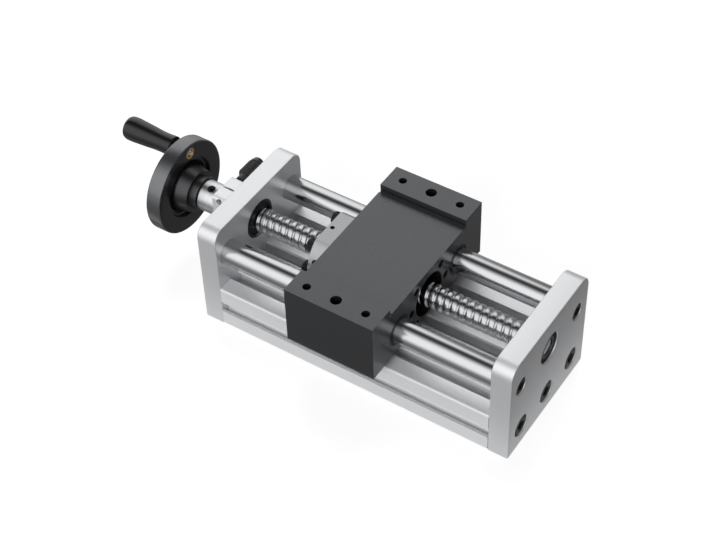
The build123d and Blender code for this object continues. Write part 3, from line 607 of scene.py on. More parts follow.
def groove_tree():
    """The grooved surface of a ball screw along X, one grid column for each point of the section."""
    tree = bpy.data.node_groups.new("ball_groove", "GeometryNodeTree")
    tree_inputs(tree, {
        "Section Points": ("Int", 25), "Steps": ("Int", 64), "Turns": ("Int", 40),
        "Lead": ("Float", 5 * MM), "Land Radius": ("Float", 7.75 * MM),
        "Groove Radius": ("Float", 1.6 * MM), "Groove Width": ("Float", 3 * MM),
        "Groove Share": ("Float", 0.75), "Land Edge": ("Float", 0.05 * MM),
        "Start": ("Float", 0.0), "Finish": ("Material", None),
    })
    given = add(tree, "NodeGroupInput").outputs
    around = add(tree, "ShaderNodeMath", {0: given["Steps"], 1: given["Turns"]},
                 operation="MULTIPLY").outputs[0]
    rows = add(tree, "ShaderNodeMath", {0: around, 1: 1.0}, operation="ADD").outputs[0]
    grid = add(tree, "GeometryNodeMeshGrid", {
        "Size X": 1.0, "Size Y": 1.0, "Vertices X": given["Section Points"], "Vertices Y": rows})
    index = add(tree, "GeometryNodeInputIndex").outputs[0]
    column = add(tree, "ShaderNodeMath", {0: index, 1: rows}, operation="DIVIDE").outputs[0]
    column = add(tree, "ShaderNodeMath", {0: column}, operation="FLOOR").outputs[0]
    row = add(tree, "ShaderNodeMath", {0: index, 1: rows}, operation="MODULO").outputs[0]
    last = add(tree, "ShaderNodeMath", {0: given["Section Points"], 1: 1.0},
               operation="SUBTRACT").outputs[0]
    share = add(tree, "ShaderNodeMath", {0: column, 1: last}, operation="DIVIDE").outputs[0]
    turn = add(tree, "ShaderNodeMath", {0: row, 1: given["Steps"]}, operation="DIVIDE").outputs[0]
    half = add(tree, "ShaderNodeMath", {0: given["Groove Width"], 1: 0.5},
               operation="MULTIPLY").outputs[0]
    sine = add(tree, "ShaderNodeMath", {0: half, 1: given["Groove Radius"]},
               operation="DIVIDE").outputs[0]
    widest = add(tree, "ShaderNodeMath", {0: sine}, operation="ARCSINE").outputs[0]
    less = add(tree, "ShaderNodeMath", {0: widest, 1: -1.0}, operation="MULTIPLY").outputs[0]
    # Groove: an arc from one land edge to the other
    swing = add(tree, "ShaderNodeMapRange", {
        "Value": share, "From Min": 0.0, "From Max": given["Groove Share"],
        "To Min": less, "To Max": widest,
    }).outputs[0]
    swing_sine = add(tree, "ShaderNodeMath", {0: swing}, operation="SINE").outputs[0]
    swing_cosine = add(tree, "ShaderNodeMath", {0: swing}, operation="COSINE").outputs[0]
    groove_x = add(tree, "ShaderNodeMath", {0: swing_sine, 1: given["Groove Radius"], 2: half},
                   operation="MULTIPLY_ADD").outputs[0]
    rim_cosine = add(tree, "ShaderNodeMath", {0: widest}, operation="COSINE").outputs[0]
    drop = add(tree, "ShaderNodeMath", {0: swing_cosine, 1: rim_cosine},
               operation="SUBTRACT").outputs[0]
    depth = add(tree, "ShaderNodeMath", {0: drop, 1: given["Groove Radius"], 2: given["Land Edge"]},
                operation="MULTIPLY_ADD").outputs[0]
    # Land: from the groove's second edge to the next groove, its edges slightly dropped
    land_x = add(tree, "ShaderNodeMapRange", {
        "Value": share, "From Min": given["Groove Share"], "From Max": 1.0,
        "To Min": given["Groove Width"], "To Max": given["Lead"],
    }).outputs[0]
    land_share = add(tree, "ShaderNodeMapRange", {
        "Value": share, "From Min": given["Groove Share"], "From Max": 1.0,
        "To Min": -1.0, "To Max": 1.0,
    }).outputs[0]
    crown = add(tree, "ShaderNodeMath", {0: land_share, 1: 4.0}, operation="POWER").outputs[0]
    land_drop = add(tree, "ShaderNodeMath", {0: crown, 1: given["Land Edge"]},
                    operation="MULTIPLY").outputs[0]
    past = add(tree, "FunctionNodeCompare", {0: share, 1: given["Groove Share"]},
               data_type="FLOAT", operation="GREATER_THAN").outputs[0]
    section_x = add(tree, "GeometryNodeSwitch", {0: past, 1: groove_x, 2: land_x},
                    input_type="FLOAT").outputs[0]
    section_drop = add(tree, "GeometryNodeSwitch", {0: past, 1: depth, 2: land_drop},
                       input_type="FLOAT").outputs[0]
    radius = add(tree, "ShaderNodeMath", {0: given["Land Radius"], 1: section_drop},
                 operation="SUBTRACT").outputs[0]
    travel = add(tree, "ShaderNodeMath", {0: turn, 1: given["Lead"], 2: section_x},
                 operation="MULTIPLY_ADD").outputs[0]
    x = add(tree, "ShaderNodeMath", {0: travel, 1: given["Start"]}, operation="ADD").outputs[0]
    # Round the axis: each row of the grid stands one step further on
    angle = add(tree, "ShaderNodeMath", {0: turn, 1: 2 * math.pi}, operation="MULTIPLY").outputs[0]
    cosine = add(tree, "ShaderNodeMath", {0: angle}, operation="COSINE").outputs[0]
    sine_turn = add(tree, "ShaderNodeMath", {0: angle}, operation="SINE").outputs[0]
    y = add(tree, "ShaderNodeMath", {0: cosine, 1: radius}, operation="MULTIPLY").outputs[0]
    z = add(tree, "ShaderNodeMath", {0: sine_turn, 1: radius, 2: AXIS_Z * MM},
            operation="MULTIPLY_ADD").outputs[0]
    spot = add(tree, "ShaderNodeCombineXYZ", {0: x, 1: y, 2: z}).outputs[0]
    placed = {"Geometry": grid.outputs["Mesh"], "Position": spot}
    moved = add(tree, "GeometryNodeSetPosition", placed).outputs[0]
    near = {"Geometry": moved, "Distance": 0.002 * MM}
    joined = add(tree, "GeometryNodeMergeByDistance", near).outputs[0]
    real = add(tree, "GeometryNodeRealizeInstances", {"Geometry": joined}).outputs[0]
    done = add(tree, "GeometryNodeSetMaterial", {"Geometry": real, "Material": given["Finish"]}).outputs[0]
    add(tree, "NodeGroupOutput", {"Geometry": done})
    return tree


# Pieces


def trim(piece, x, keep):
    """Cuts a piece across X and closes the cut. keep is 1 for the side beyond x and -1 for the other."""
    bm = bmesh.new()
    bm.from_mesh(piece.data)
    cut_plane = {"plane_co": (x * MM, 0, 0), "plane_no": (keep, 0, 0)}
    everything = bm.verts[:] + bm.edges[:] + bm.faces[:]
    found = bmesh.ops.bisect_plane(bm, geom=everything, clear_inner=True, dist=1e-7, **cut_plane)
    edges = [item for item in found["geom_cut"] if isinstance(item, bmesh.types.BMEdge)]
    bmesh.ops.edgenet_fill(bm, edges=edges)
    bm.to_mesh(piece.data)
    bm.free()


class STAGE_OT_ball_screw(bpy.types.Operator):
    """Builds the ball screw with its helical groove, shoulders and journals"""

    bl_idname = "linear_stage.ball_screw"
    bl_label = "Ball screw"

    def execute(self, context):
        # Hardened and ground steel: bright and mirror-like, with fine rings that soften each glint
        finish = turned("ground_screw_steel", tuple(colours().steel), 1.0, 0.16, 0.25, 0.05)
        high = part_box("ball_screw")[1]
        free_end_x = high.x / MM
        piece = self.thread(finish)
        drive = lathe("drive_journal", eased([
            (DRIVE_JOURNAL_END_X, 0), (DRIVE_JOURNAL_END_X, JOURNAL_RADIUS, 0.6),
            (RING_GROOVE_START_X, JOURNAL_RADIUS, 0.1), (RING_GROOVE_START_X, RING_GROOVE_RADIUS, 0.05),
            (RING_GROOVE_END_X, RING_GROOVE_RADIUS, 0.05), (RING_GROOVE_END_X, JOURNAL_RADIUS, 0.1),
            (DRIVE_SHOULDER_X, JOURNAL_RADIUS, 0.1), (DRIVE_SHOULDER_X, SHOULDER_RADIUS, 0.4),
            (-THREAD_END_X, SHOULDER_RADIUS, 0.1), (-THREAD_END_X, 0.0),
        ], 0.3), steps=64)
        free = lathe("free_journal", eased([
            (THREAD_END_X, 0.0), (THREAD_END_X, SHOULDER_RADIUS, 0.1),
            (FREE_SHOULDER_X, SHOULDER_RADIUS, 0.4), (FREE_SHOULDER_X, JOURNAL_RADIUS, 0.1),
            (free_end_x, JOURNAL_RADIUS, 0.6), (free_end_x, 0.0),
        ], 0.3), steps=64)
        bm = bmesh.new()
        for part in (piece, drive, free):
            bm.from_mesh(part.data)
        mesh = bpy.data.meshes.new("ball_screw_finished")
        bm.to_mesh(mesh)
        bm.free()
        piece.data = mesh
        for part in (drive, free):
            bpy.data.objects.remove(part)
        smooth(piece, 40.0)
        dress(piece, finish, "ball_screw")
        return {"FINISHED"}

    def thread(self, finish):
        """The grooved length of the screw, made too long, tapered to its ends and trimmed there."""
        start, end = -THREAD_END_X, THREAD_END_X
        piece = show(bpy.data.meshes.new("ball_screw_groove"), "ball_screw_groove")
        lead = sizes().lead / MM
        run_tree(piece, groove_tree(), {
            "Section Points": 33, "Steps": 64, "Turns": math.ceil((end - start) / lead) + 4,
            "Lead": sizes().lead, "Land Radius": LAND_RADIUS * MM,
            "Groove Radius": sizes().groove_radius, "Groove Width": sizes().groove_width,
            "Groove Share": 0.5, "Land Edge": 0.28 * MM,
            "Start": (start - 1.5 * lead + GROOVE_SHIFT) * MM, "Finish": finish,
        })
        bm = bmesh.new()
        bm.from_mesh(piece.data)
        for vert in bm.verts:
            x = vert.co.x / MM
            radius = math.hypot(vert.co.y, vert.co.z - AXIS_Z * MM) / MM
            limit = THREAD_END_RADIUS + max(0.0, min(x - start, end - x))
            if radius > limit:
                share = limit / radius
                vert.co.y *= share
                vert.co.z = AXIS_Z * MM + (vert.co.z - AXIS_Z * MM) * share
        bmesh.ops.recalc_face_normals(bm, faces=bm.faces)
        bm.to_mesh(piece.data)
        bm.free()
        trim(piece, start, 1)
        trim(piece, end, -1)
        return smooth(piece, 40.0)


def cap_screw_piece(name, size, ridges, finish):
    """A socket head cap screw along Z, its head's underside at the origin and its head upwards."""
    thread, length, head, height, key, deep = size
    radius = head / 2
    core = radius - SCREW_KNURL
    mouth = key * SOCKET_MOUTH_SHARE
    bm = bmesh.new()
    rings = []
    for z, r in eased([
        (-length, 0), (-length, thread / 2, 0.4), (0.0, thread / 2, 0.1), (0.0, core, 0.2),
        (height, core, 0.5), (height, mouth, 0.15),
    ], 0.1):
        rings.append(add_ring(bm, [r] * (1 if r == 0 else SCREW_STEPS), lambda x, y: (x, y, z)))
    # The socket: from its round mouth to a hexagon, then down to a cone
    hexagon = []
    for step in range(SCREW_STEPS):
        angle = 2 * math.pi * step / SCREW_STEPS
        off_flat = (angle + math.pi / 6) % (math.pi / 3) - math.pi / 6
        hexagon.append(key / 2 / math.cos(off_flat))
    for depth in (SOCKET_CHAMFER, deep):
        rings.append(add_ring(bm, hexagon, lambda x, y: (x, y, height - depth)))
    tip = height - deep - key * SOCKET_CONE_SHARE
    rings.append(add_ring(bm, [0.0], lambda x, y: (x, y, tip)))
    bridge(bm, zip(rings, rings[1:]), SCREW_STEPS)
    piece = closed(bm, name)
    ridge = ridge_piece(name + "_ridge", ridge_width(head, ridges), SCREW_KNURL, SCREW_KNURL_START,
                        height - SCREW_KNURL_INSET)
    run_tree(piece, bpy.data.node_groups["ridges_round"], {
        "Ridge": ridge, "Count": ridges, "Radius": core * MM, "Finish": finish,
    })
    bpy.data.objects.remove(ridge)
    return smooth(piece)


def ridge_width(diameter, ridges):
    """The foot of one ridge of a knurl, a little less than its share of the way round."""
    return RIDGE_SHARE * math.pi * diameter / ridges


def ridge_piece(name, width, depth, low, high):
    """One ridge of a knurl: a small prism along Z, sunk at its foot, with a sharp crest along X."""
    bm = bmesh.new()
    section = [(RIDGE_ROOT, -width / 2), (depth, 0.0), (RIDGE_ROOT, width / 2)]
    ends = []
    for z in (low, high):
        ends.append([bm.verts.new(Vector((x, y, z)) * MM) for x, y in section])
    bm.faces.new(ends[0])
    bm.faces.new(ends[1])
    for a in range(3):
        b = (a + 1) % 3
        bm.faces.new((ends[0][a], ends[0][b], ends[1][b], ends[1][a]))
    return closed(bm, name)


class STAGE_OT_cap_screws(bpy.types.Operator):
    """Sets the socket head cap screws of the plates, clamp, nut and handwheel on their seats"""

    bl_idname = "linear_stage.cap_screws"
    bl_label = "Cap screws"

    def execute(self, context):
        # Black oxide, oiled: a thin dark skin on steel, nearly black with a soft grey shine
        finish = grained("black_oxide_steel", linear("1C1C1E"), 0.3, 0.45, 0.3, 0.04)
        seats_tree()
        ridges_tree()
        made = {}
        for kind, size in CAP_SCREWS.items():
            made[kind] = cap_screw_piece("cap_screw_" + kind, size, sizes().screw_ridges, finish)
        for seed, (node, (kind, seats)) in enumerate(self.groups().items()):
            mesh = bpy.data.meshes.new(node + "_set")
            mesh.from_pydata([Vector(seat[:3]) * MM for seat in seats], [], [])
            way = mesh.attributes.new("way", "FLOAT_VECTOR", "POINT")
            for place, seat in enumerate(seats):
                way.data[place].vector = (seat[3], 0, 0)
            piece = show(mesh, node + "_set")
            run_tree(piece, bpy.data.node_groups["screws_on_seats"], {
                "Screw": made[kind], "Finish": finish, "Turn": math.pi / 3, "Seed": seed,
            })
            smooth(piece)
            dress(piece, finish, node)
        for piece in made.values():
            bpy.data.objects.remove(piece)
        return {"FINISHED"}

    def groups(self):
        """The kind of screw of each CAD node, with its seats: x, y, z and the way that the head faces."""
        nut = []
        for side in ENDS:
            for angle in (math.radians(a) for a in NUT_SCREW_ANGLES):
                y = side * (NUT_SCREW_RADIUS * math.cos(angle))
                nut.append((NUT_FACE_X, y, AXIS_Z + NUT_SCREW_RADIUS * math.sin(angle), -1))
        rods = [(e * ROD_SCREW_SEAT_X, y, AXIS_Z, e) for e in ENDS for y in (-ROD_Y, ROD_Y)]
        base = [(e * BASE_SCREW_SEAT_X, y, BASE_SCREW_Z, e) for e in ENDS for y in BASE_SCREW_YS]
        clamp = [(CLAMP_SCREW_SEAT_X, side * CLAMP_SCREW_Y, CLAMP_SCREW_Z, -1) for side in ENDS]
        return {
            "rod_screws": ("M6", rods),
            "base_screws": ("M8", base),
            "clamp_screws": ("M3", clamp),
            "nut_screws": ("M5", nut),
            "wheel_screw": ("M5", [(WASHER_X, 0, AXIS_Z, -1)]),
        }


class STAGE_OT_base(bpy.types.Operator):
    """Finishes the slotted base profile and the two end plates"""

    bl_idname = "linear_stage.base"
    bl_label = "Base and end plates"

    def execute(self, context):
        edge = sizes().edge / MM
        # Extruded, natural anodised: a silky grey-white skin with faint lines along the profile
        extruded = grained("extruded_anodised_aluminium", tuple(colours().profile), 0.25, 0.36, 0.5, 0.03,
                           stretch=(0.01, 1, 1))
        # Bead blasted, natural anodised: an even, fine, pale sheen without lines
        blasted = grained("blasted_anodised_aluminium", tuple(colours().plate), 0.6, 0.36, 0.35, 0.04)
        dress(refined("base_profile", "slotted_base", edge), extruded, "base_profile")
        for node, name, x in (
            ("drive_end_plate", "drive_plate", -PLATE_OUTER_X),
            ("free_end_plate", "free_plate", PLATE_OUTER_X),
        ):
            mouths = [(x, y, AXIS_Z, ROD_SCREW_MOUTH) for y in (-ROD_Y, ROD_Y)]
            mouths += [(x, y, BASE_SCREW_Z, BASE_SCREW_MOUTH) for y in BASE_SCREW_YS]
            mouths.append((x, 0.0, AXIS_Z, BEARING_MOUTH))
            # The angle passes over the edges of the plates' own 45 degree chamfers
            dress(refined(node, name, edge, angle=50.0, mouths=mouths), blasted, node)
        return {"FINISHED"}


class STAGE_OT_rods(bpy.types.Operator):
    """Turns the two guide rods"""

    bl_idname = "linear_stage.rods"
    bl_label = "Guide rods"

    def execute(self, context):
        for node, y in (("near_guide_rod", -ROD_Y), ("far_guide_rod", ROD_Y)):
            # Hard chrome, ground and polished: nearly a mirror, with long clean bands of light and dark
            finish = turned("hard_chrome_" + node, tuple(colours().chrome), 1.0, 0.17, 0.4, 0.01,
                            (y, AXIS_Z), spread=0.02)
            outline = eased([
                (-ROD_END_X, 0), (-ROD_END_X, ROD_RADIUS, 0.8), (ROD_END_X, ROD_RADIUS, 0.8),
                (ROD_END_X, 0),
            ], 0.3)
            dress(lathe(node + "_turned", outline, (y, AXIS_Z)), finish, node)
        return {"FINISHED"}


class STAGE_OT_carriage(bpy.types.Operator):
    """Finishes the carriage block with its bushings and seals"""

    bl_idname = "linear_stage.carriage"
    bl_label = "Carriage"

    def execute(self, context):
        # Milled, black anodised: charcoal, satin on the faces, with fine bright edges
        black = grained("black_anodised_aluminium", tuple(colours().carriage), 0.93, 0.30, 0.35, 0.025)
        dress(refined("carriage_block", "carriage", sizes().edge / MM), black, "carriage_block")
        # Sintered bronze, oiled: warm brown with a dull grainy sheen
        coat("rod_bushings", grained("sintered_bronze", linear("8A6A44"), 0.9, 0.45, 0.2, 0.05))
        # Moulded nitrile rubber: black, and matt enough to show no reflections
        rubber = grained("nitrile_rubber", linear("1A1A1B"), 0.0, 0.55, 0.3, 0.08)
        for node in ("rod_seals", "nut_wipers", "bearing_seals"):
            coat(node, rubber)
        return {"FINISHED"}


class STAGE_OT_nut(bpy.types.Operator):
    """Finishes the flanged ball nut, the bearing rings and the retaining rings"""

    bl_idname = "linear_stage.nut"
    bl_label = "Ball nut"

    def execute(self, context):
        # Ground steel: mid grey metal with soft streaks of light and fine rings on its faces
        ground = turned("ground_nut_steel", linear("A6A7A9"), 1.0, 0.28, 0.3, 0.04)
        dress(refined("ball_nut", "flanged_nut", edge=0.4), ground, "ball_nut")
        # Ground steel deep in the plates' bores: the same metal painted darker as painted shade for the
        # recesses, with a dull glint
        ring = turned("bearing_ring_steel", linear("58595B"), 1.0, 0.35, 0.3, 0.03)
        for node in ("drive_bearing_outer_ring", "free_bearing_outer_ring", "bearing_inner_rings"):
            coat(node, ring)
        # Punched spring steel, phosphated: dark grey, with a dry dull shine
        spring = grained("phosphated_spring_steel", linear("3A3A3C"), 0.8, 0.4, 0.3, 0.05)
        for node in ("housing_retaining_ring", "journal_retaining_ring"):
            coat(node, spring)
        return {"FINISHED"}


class STAGE_OT_clamp(bpy.types.Operator):
    """Finishes the split spindle clamp, the sleeve and its set screw"""

    bl_idname = "linear_stage.clamp"
    bl_label = "Spindle clamp and sleeve"

    def execute(self, context):
        # Milled, natural anodised: pale grey faces with a smooth satin sheen
        milled = grained("milled_anodised_aluminium", linear("E0E1E3"), 0.5, 0.36, 0.4, 0.03)
        dress(refined("spindle_clamp", "split_clamp", edge=0.4), milled, "spindle_clamp")
        # Turned aluminium: bright silver with fine rings that spread each glint
        satin = turned("turned_sleeve_aluminium", linear("DCDDDF"), 1.0, 0.30, 0.35, 0.03)
        dress(refined("spindle_sleeve", "sleeve", edge=0.2), satin, "spindle_sleeve")
        coat("sleeve_set_screw", bpy.data.materials["black_oxide_steel"])
        return {"FINISHED"}


class STAGE_OT_knob(bpy.types.Operator):
    """Turns and knurls the lock knob and finishes its stud"""

    bl_idname = "linear_stage.knob"
    bl_label = "Lock knob"

    def execute(self, context):
        # Moulded nylon: black with a clear shine that picks out the ridges
        black = grained("moulded_knob_plastic", linear("2A2A2C"), 0.0, 0.20, 0.3, 0.04)
        low, high = (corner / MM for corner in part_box("lock_knob"))
        outline = eased([
            (0.0, STUD_RADIUS), (0.0, KNOB_NECK_RADIUS, 0.3), (KNOB_NECK_END, KNOB_NECK_RADIUS, 0.1),
            (KNOB_NECK_END, KNOB_CORE_RADIUS, 0.4), (KNOB_BODY_END, KNOB_CORE_RADIUS, 0.3),
            (KNOB_BODY_END, KNOB_RING_RADIUS, 0.05), (KNOB_RING_END, KNOB_RING_RADIUS, 0.05),
            (KNOB_RING_END, KNOB_CAP_RADIUS, 0.2), (KNOB_CAP_END, KNOB_CAP_END_RADIUS, 0.4),
            (KNOB_CROWN_END, KNOB_CROWN_RADIUS, 1.2), (KNOB_END, 0.0), (KNOB_NECK_END, 0.0),
            (KNOB_NECK_END, STUD_RADIUS, 0.05),
        ], 0.2)
        piece = lathe("knob_at_origin", outline, centre=(0.0, 0.0), steps=96)
        # The knurl is laid round Z, then the knob is turned to stand along Y
        piece.data.transform(Matrix(((0, 1, 0, 0), (0, 0, 1, 0), (1, 0, 0, 0), (0, 0, 0, 1))))
        ridges = sizes().knob_ridges
        ridge = ridge_piece("knob_ridge", ridge_width(2 * KNOB_CORE_RADIUS, ridges), KNOB_KNURL,
                            KNOB_KNURL_START, KNOB_KNURL_END)
        run_tree(piece, bpy.data.node_groups["ridges_round"], {
            "Ridge": ridge, "Count": ridges, "Radius": KNOB_CORE_RADIUS * MM, "Finish": black,
        })
        bpy.data.objects.remove(ridge)
        foot = Vector(((low.x + high.x) / 2, low.y, (low.z + high.z) / 2)) * MM
        stand = Matrix(((1, 0, 0, foot.x), (0, 0, 1, foot.y), (0, -1, 0, foot.z), (0, 0, 0, 1)))
        piece.data.transform(stand)
        piece.name = "knurled_knob"
        smooth(piece)
        dress(piece, black, "lock_knob")
        coat("lock_stud", bpy.data.materials["phosphated_spring_steel"])
        return {"FINISHED"}


class STAGE_OT_handwheel(bpy.types.Operator):
    """Turns the handwheel, its washer and the handle"""

    bl_idname = "linear_stage.handwheel"
    bl_label = "Handwheel and handle"

    def execute(self, context):
        self.wheel()
        self.washer()
        self.insert()
        self.spindle()
        self.grip()
        return {"FINISHED"}

    def wheel(self):
        """The wheel with its rim, dish, hub and collar, and a hole through the rim for the insert."""
        # Turned aluminium, coated black: dark and glossy with fine rings, paler on the polished rim, where
        # the paler colour is also a painted highlight
        dark = tuple(colours().wheel)
        black = turned("black_turned_wheel", dark, 0.85, 0.20, 0.5, 0.05, spread=0.06)
        outline = eased([
            (BACK_DISH_X, WHEEL_BORE, 0.3), (BACK_DISH_X, WHEEL_RECESS_RADIUS, 0.1),
            (WHEEL_BACK_X, WHEEL_RECESS_RADIUS, 0.4), (WHEEL_BACK_X, WHEEL_BOSS_RADIUS, 0.4),
            (BACK_DISH_X, WHEEL_BOSS_RADIUS, 0.4), (BACK_DISH_X, DISH_RADIUS, 1.0),
            (WHEEL_BACK_X, DISH_RADIUS, 0.6), (WHEEL_BACK_X, WHEEL_RADIUS, 1.2),
            (WHEEL_FACE_X, WHEEL_RADIUS, 1.2), (WHEEL_FACE_X, DISH_RADIUS, 0.5),
            (DISH_FLOOR_X, DISH_RADIUS, 2.5), (DISH_FLOOR_X, HUB_FOOT_RADIUS, 1.2),
            (COLLAR_X, HUB_RADIUS, 0.5), (COLLAR_X, COLLAR_RADIUS, 0.1),
            (WHEEL_HUB_X, COLLAR_RADIUS, 0.8), (WHEEL_HUB_X, WHEEL_BORE, 0.3),
        ], 0.3, segments=5)
        wheel = lathe("handwheel_turned", outline, steps=192)
        past_back, past_face = WHEEL_BACK_X - 2.0, WHEEL_FACE_X + 2.5
        through = [(past_back, 0), (past_back, INSERT_RADIUS), (past_face, INSERT_RADIUS), (past_face, 0)]
        cut(wheel, lathe("insert_hole", through, HANDLE, steps=64))
        # The rim band's paler colour is partly polished metal and partly a painted highlight
        banded(black, dark, linear("727375"), RIM_POLISH_AND_HIGHLIGHT_START, RIM_POLISH_AND_HIGHLIGHT_FULL)
        dress(wheel, black, "handwheel")

    def washer(self):
        """The washer under the wheel's end screw."""
        # Zinc plated steel: bright silver with a soft shine
        zinc = turned("zinc_plated_washer", linear("D8DADB"), 1.0, 0.25, 0.3, 0.04)
        washer = lathe("wheel_washer_turned", eased([
            (WASHER_X, WASHER_HOLE), (WASHER_X, WASHER_RADIUS, 0.3), (BACK_DISH_X, WASHER_RADIUS, 0.1),
            (BACK_DISH_X, WASHER_HOLE),
        ], 0.15), steps=96)
        dress(washer, zinc, "wheel_washer")

    def insert(self):
        """The bush in the rim that takes the handle's spindle."""
        # Turned brass: pale warm yellow, bright where the light falls on it
        brass = turned("turned_brass", tuple(colours().brass), 1.0, 0.2, 0.3, 0.05, HANDLE)
        insert = lathe("brass_insert", eased([
            (WHEEL_BACK_X, INSERT_BORE), (WHEEL_BACK_X, INSERT_RADIUS, 0.3),
            (WHEEL_FACE_X, INSERT_RADIUS, 0.4), (WHEEL_FACE_X, INSERT_BORE, 0.2),
        ], 0.2), HANDLE, steps=64)
        dress(insert, brass, "handle_insert")

    def spindle(self):
        """The handle's spindle, its end domed and slit where it shows in the rim."""
        # Turned steel: bright and slightly warm, with fine rings
        steel = turned("turned_spindle_steel", linear("E6E4DC"), 1.0, 0.2, 0.3, 0.05, HANDLE)
        spindle = lathe("handle_spindle_turned", eased([
            (WHEEL_FACE_X, 0), (DOME_TOP_X, DOME_TOP_RADIUS, 0.5), (DOME_FOOT_X, SPINDLE_RADIUS, 0.4),
            (WHEEL_BACK_X, SPINDLE_RADIUS, 0.1), (WHEEL_BACK_X, SPINDLE_COLLAR_RADIUS, 0.3),
            (SPINDLE_COLLAR_X, SPINDLE_COLLAR_RADIUS, 0.3), (SPINDLE_COLLAR_X, SPINDLE_RADIUS, 0.1),
            (SPINDLE_HEAD_X, SPINDLE_RADIUS, 0.1), (SPINDLE_HEAD_X, SPINDLE_HEAD_RADIUS, 0.2),
            (SPINDLE_END_X, SPINDLE_HEAD_RADIUS, 0.5), (SPINDLE_END_X, 0),
        ], 0.2), HANDLE, steps=64)
        slit = show(bpy.data.meshes.new("spindle_slit"), "spindle_slit")
        depth, width, length, turn = 1.4 * MM, 0.9 * MM, 6.0 * MM, 0.5
        bm = bmesh.new()
        middle = Matrix.Translation(Vector((WHEEL_FACE_X, *HANDLE)) * MM) @ Matrix.Rotation(turn, 4, "X")
        box = middle @ Matrix.Diagonal((depth, width, length, 1.0))
        bmesh.ops.create_cube(bm, size=1.0, matrix=box)
        bm.to_mesh(slit.data)
        bm.free()
        cut(spindle, slit)
        dress(spindle, steel, "handle_spindle")

    def grip(self):
        """The revolving grip: a slight waist, then a swell towards its rounded end with the recess."""
        # Moulded plastic, polished: deep black with sharp highlights
        plastic = grained("moulded_grip_plastic", linear("131314"), 0.0, 0.16, 0.5, 0.008)
        waist, waist_share = 0.3, 0.6
        swell, swell_start, swell_power, whole_swell = 1.1, 0.3, 1.4, 0.61
        side = [(GRIP_START_X, GRIP_BORE, 0.2), (GRIP_START_X, GRIP_BASE_RADIUS, 0.5)]
        for step in range(1, 12):
            share = step / 12
            dip = waist * math.sin(math.pi * min(share / waist_share, 1.0))
            rise = swell * max(0.0, share - swell_start) ** swell_power / whole_swell
            radius = GRIP_BASE_RADIUS - dip + rise
            side.append((GRIP_START_X - GRIP_SIDE_LENGTH * share, min(radius, GRIP_BELLY_RADIUS)))
        side += [
            (GRIP_START_X - GRIP_SIDE_LENGTH, GRIP_BELLY_RADIUS), GRIP_SHOULDER, (*GRIP_EDGE, 1.0),
            (GRIP_END_X, GRIP_END_RADIUS, 0.4), (GRIP_END_X, GRIP_RECESS_RADIUS, 0.2),
            (GRIP_RECESS_X, GRIP_RECESS_RADIUS, 0.2), (GRIP_RECESS_X, GRIP_BORE, 0.1),
        ]
        grip = lathe("handle_grip_turned", eased(side, 2.0), HANDLE, steps=96)
        dress(grip, plastic, "handle_grip")


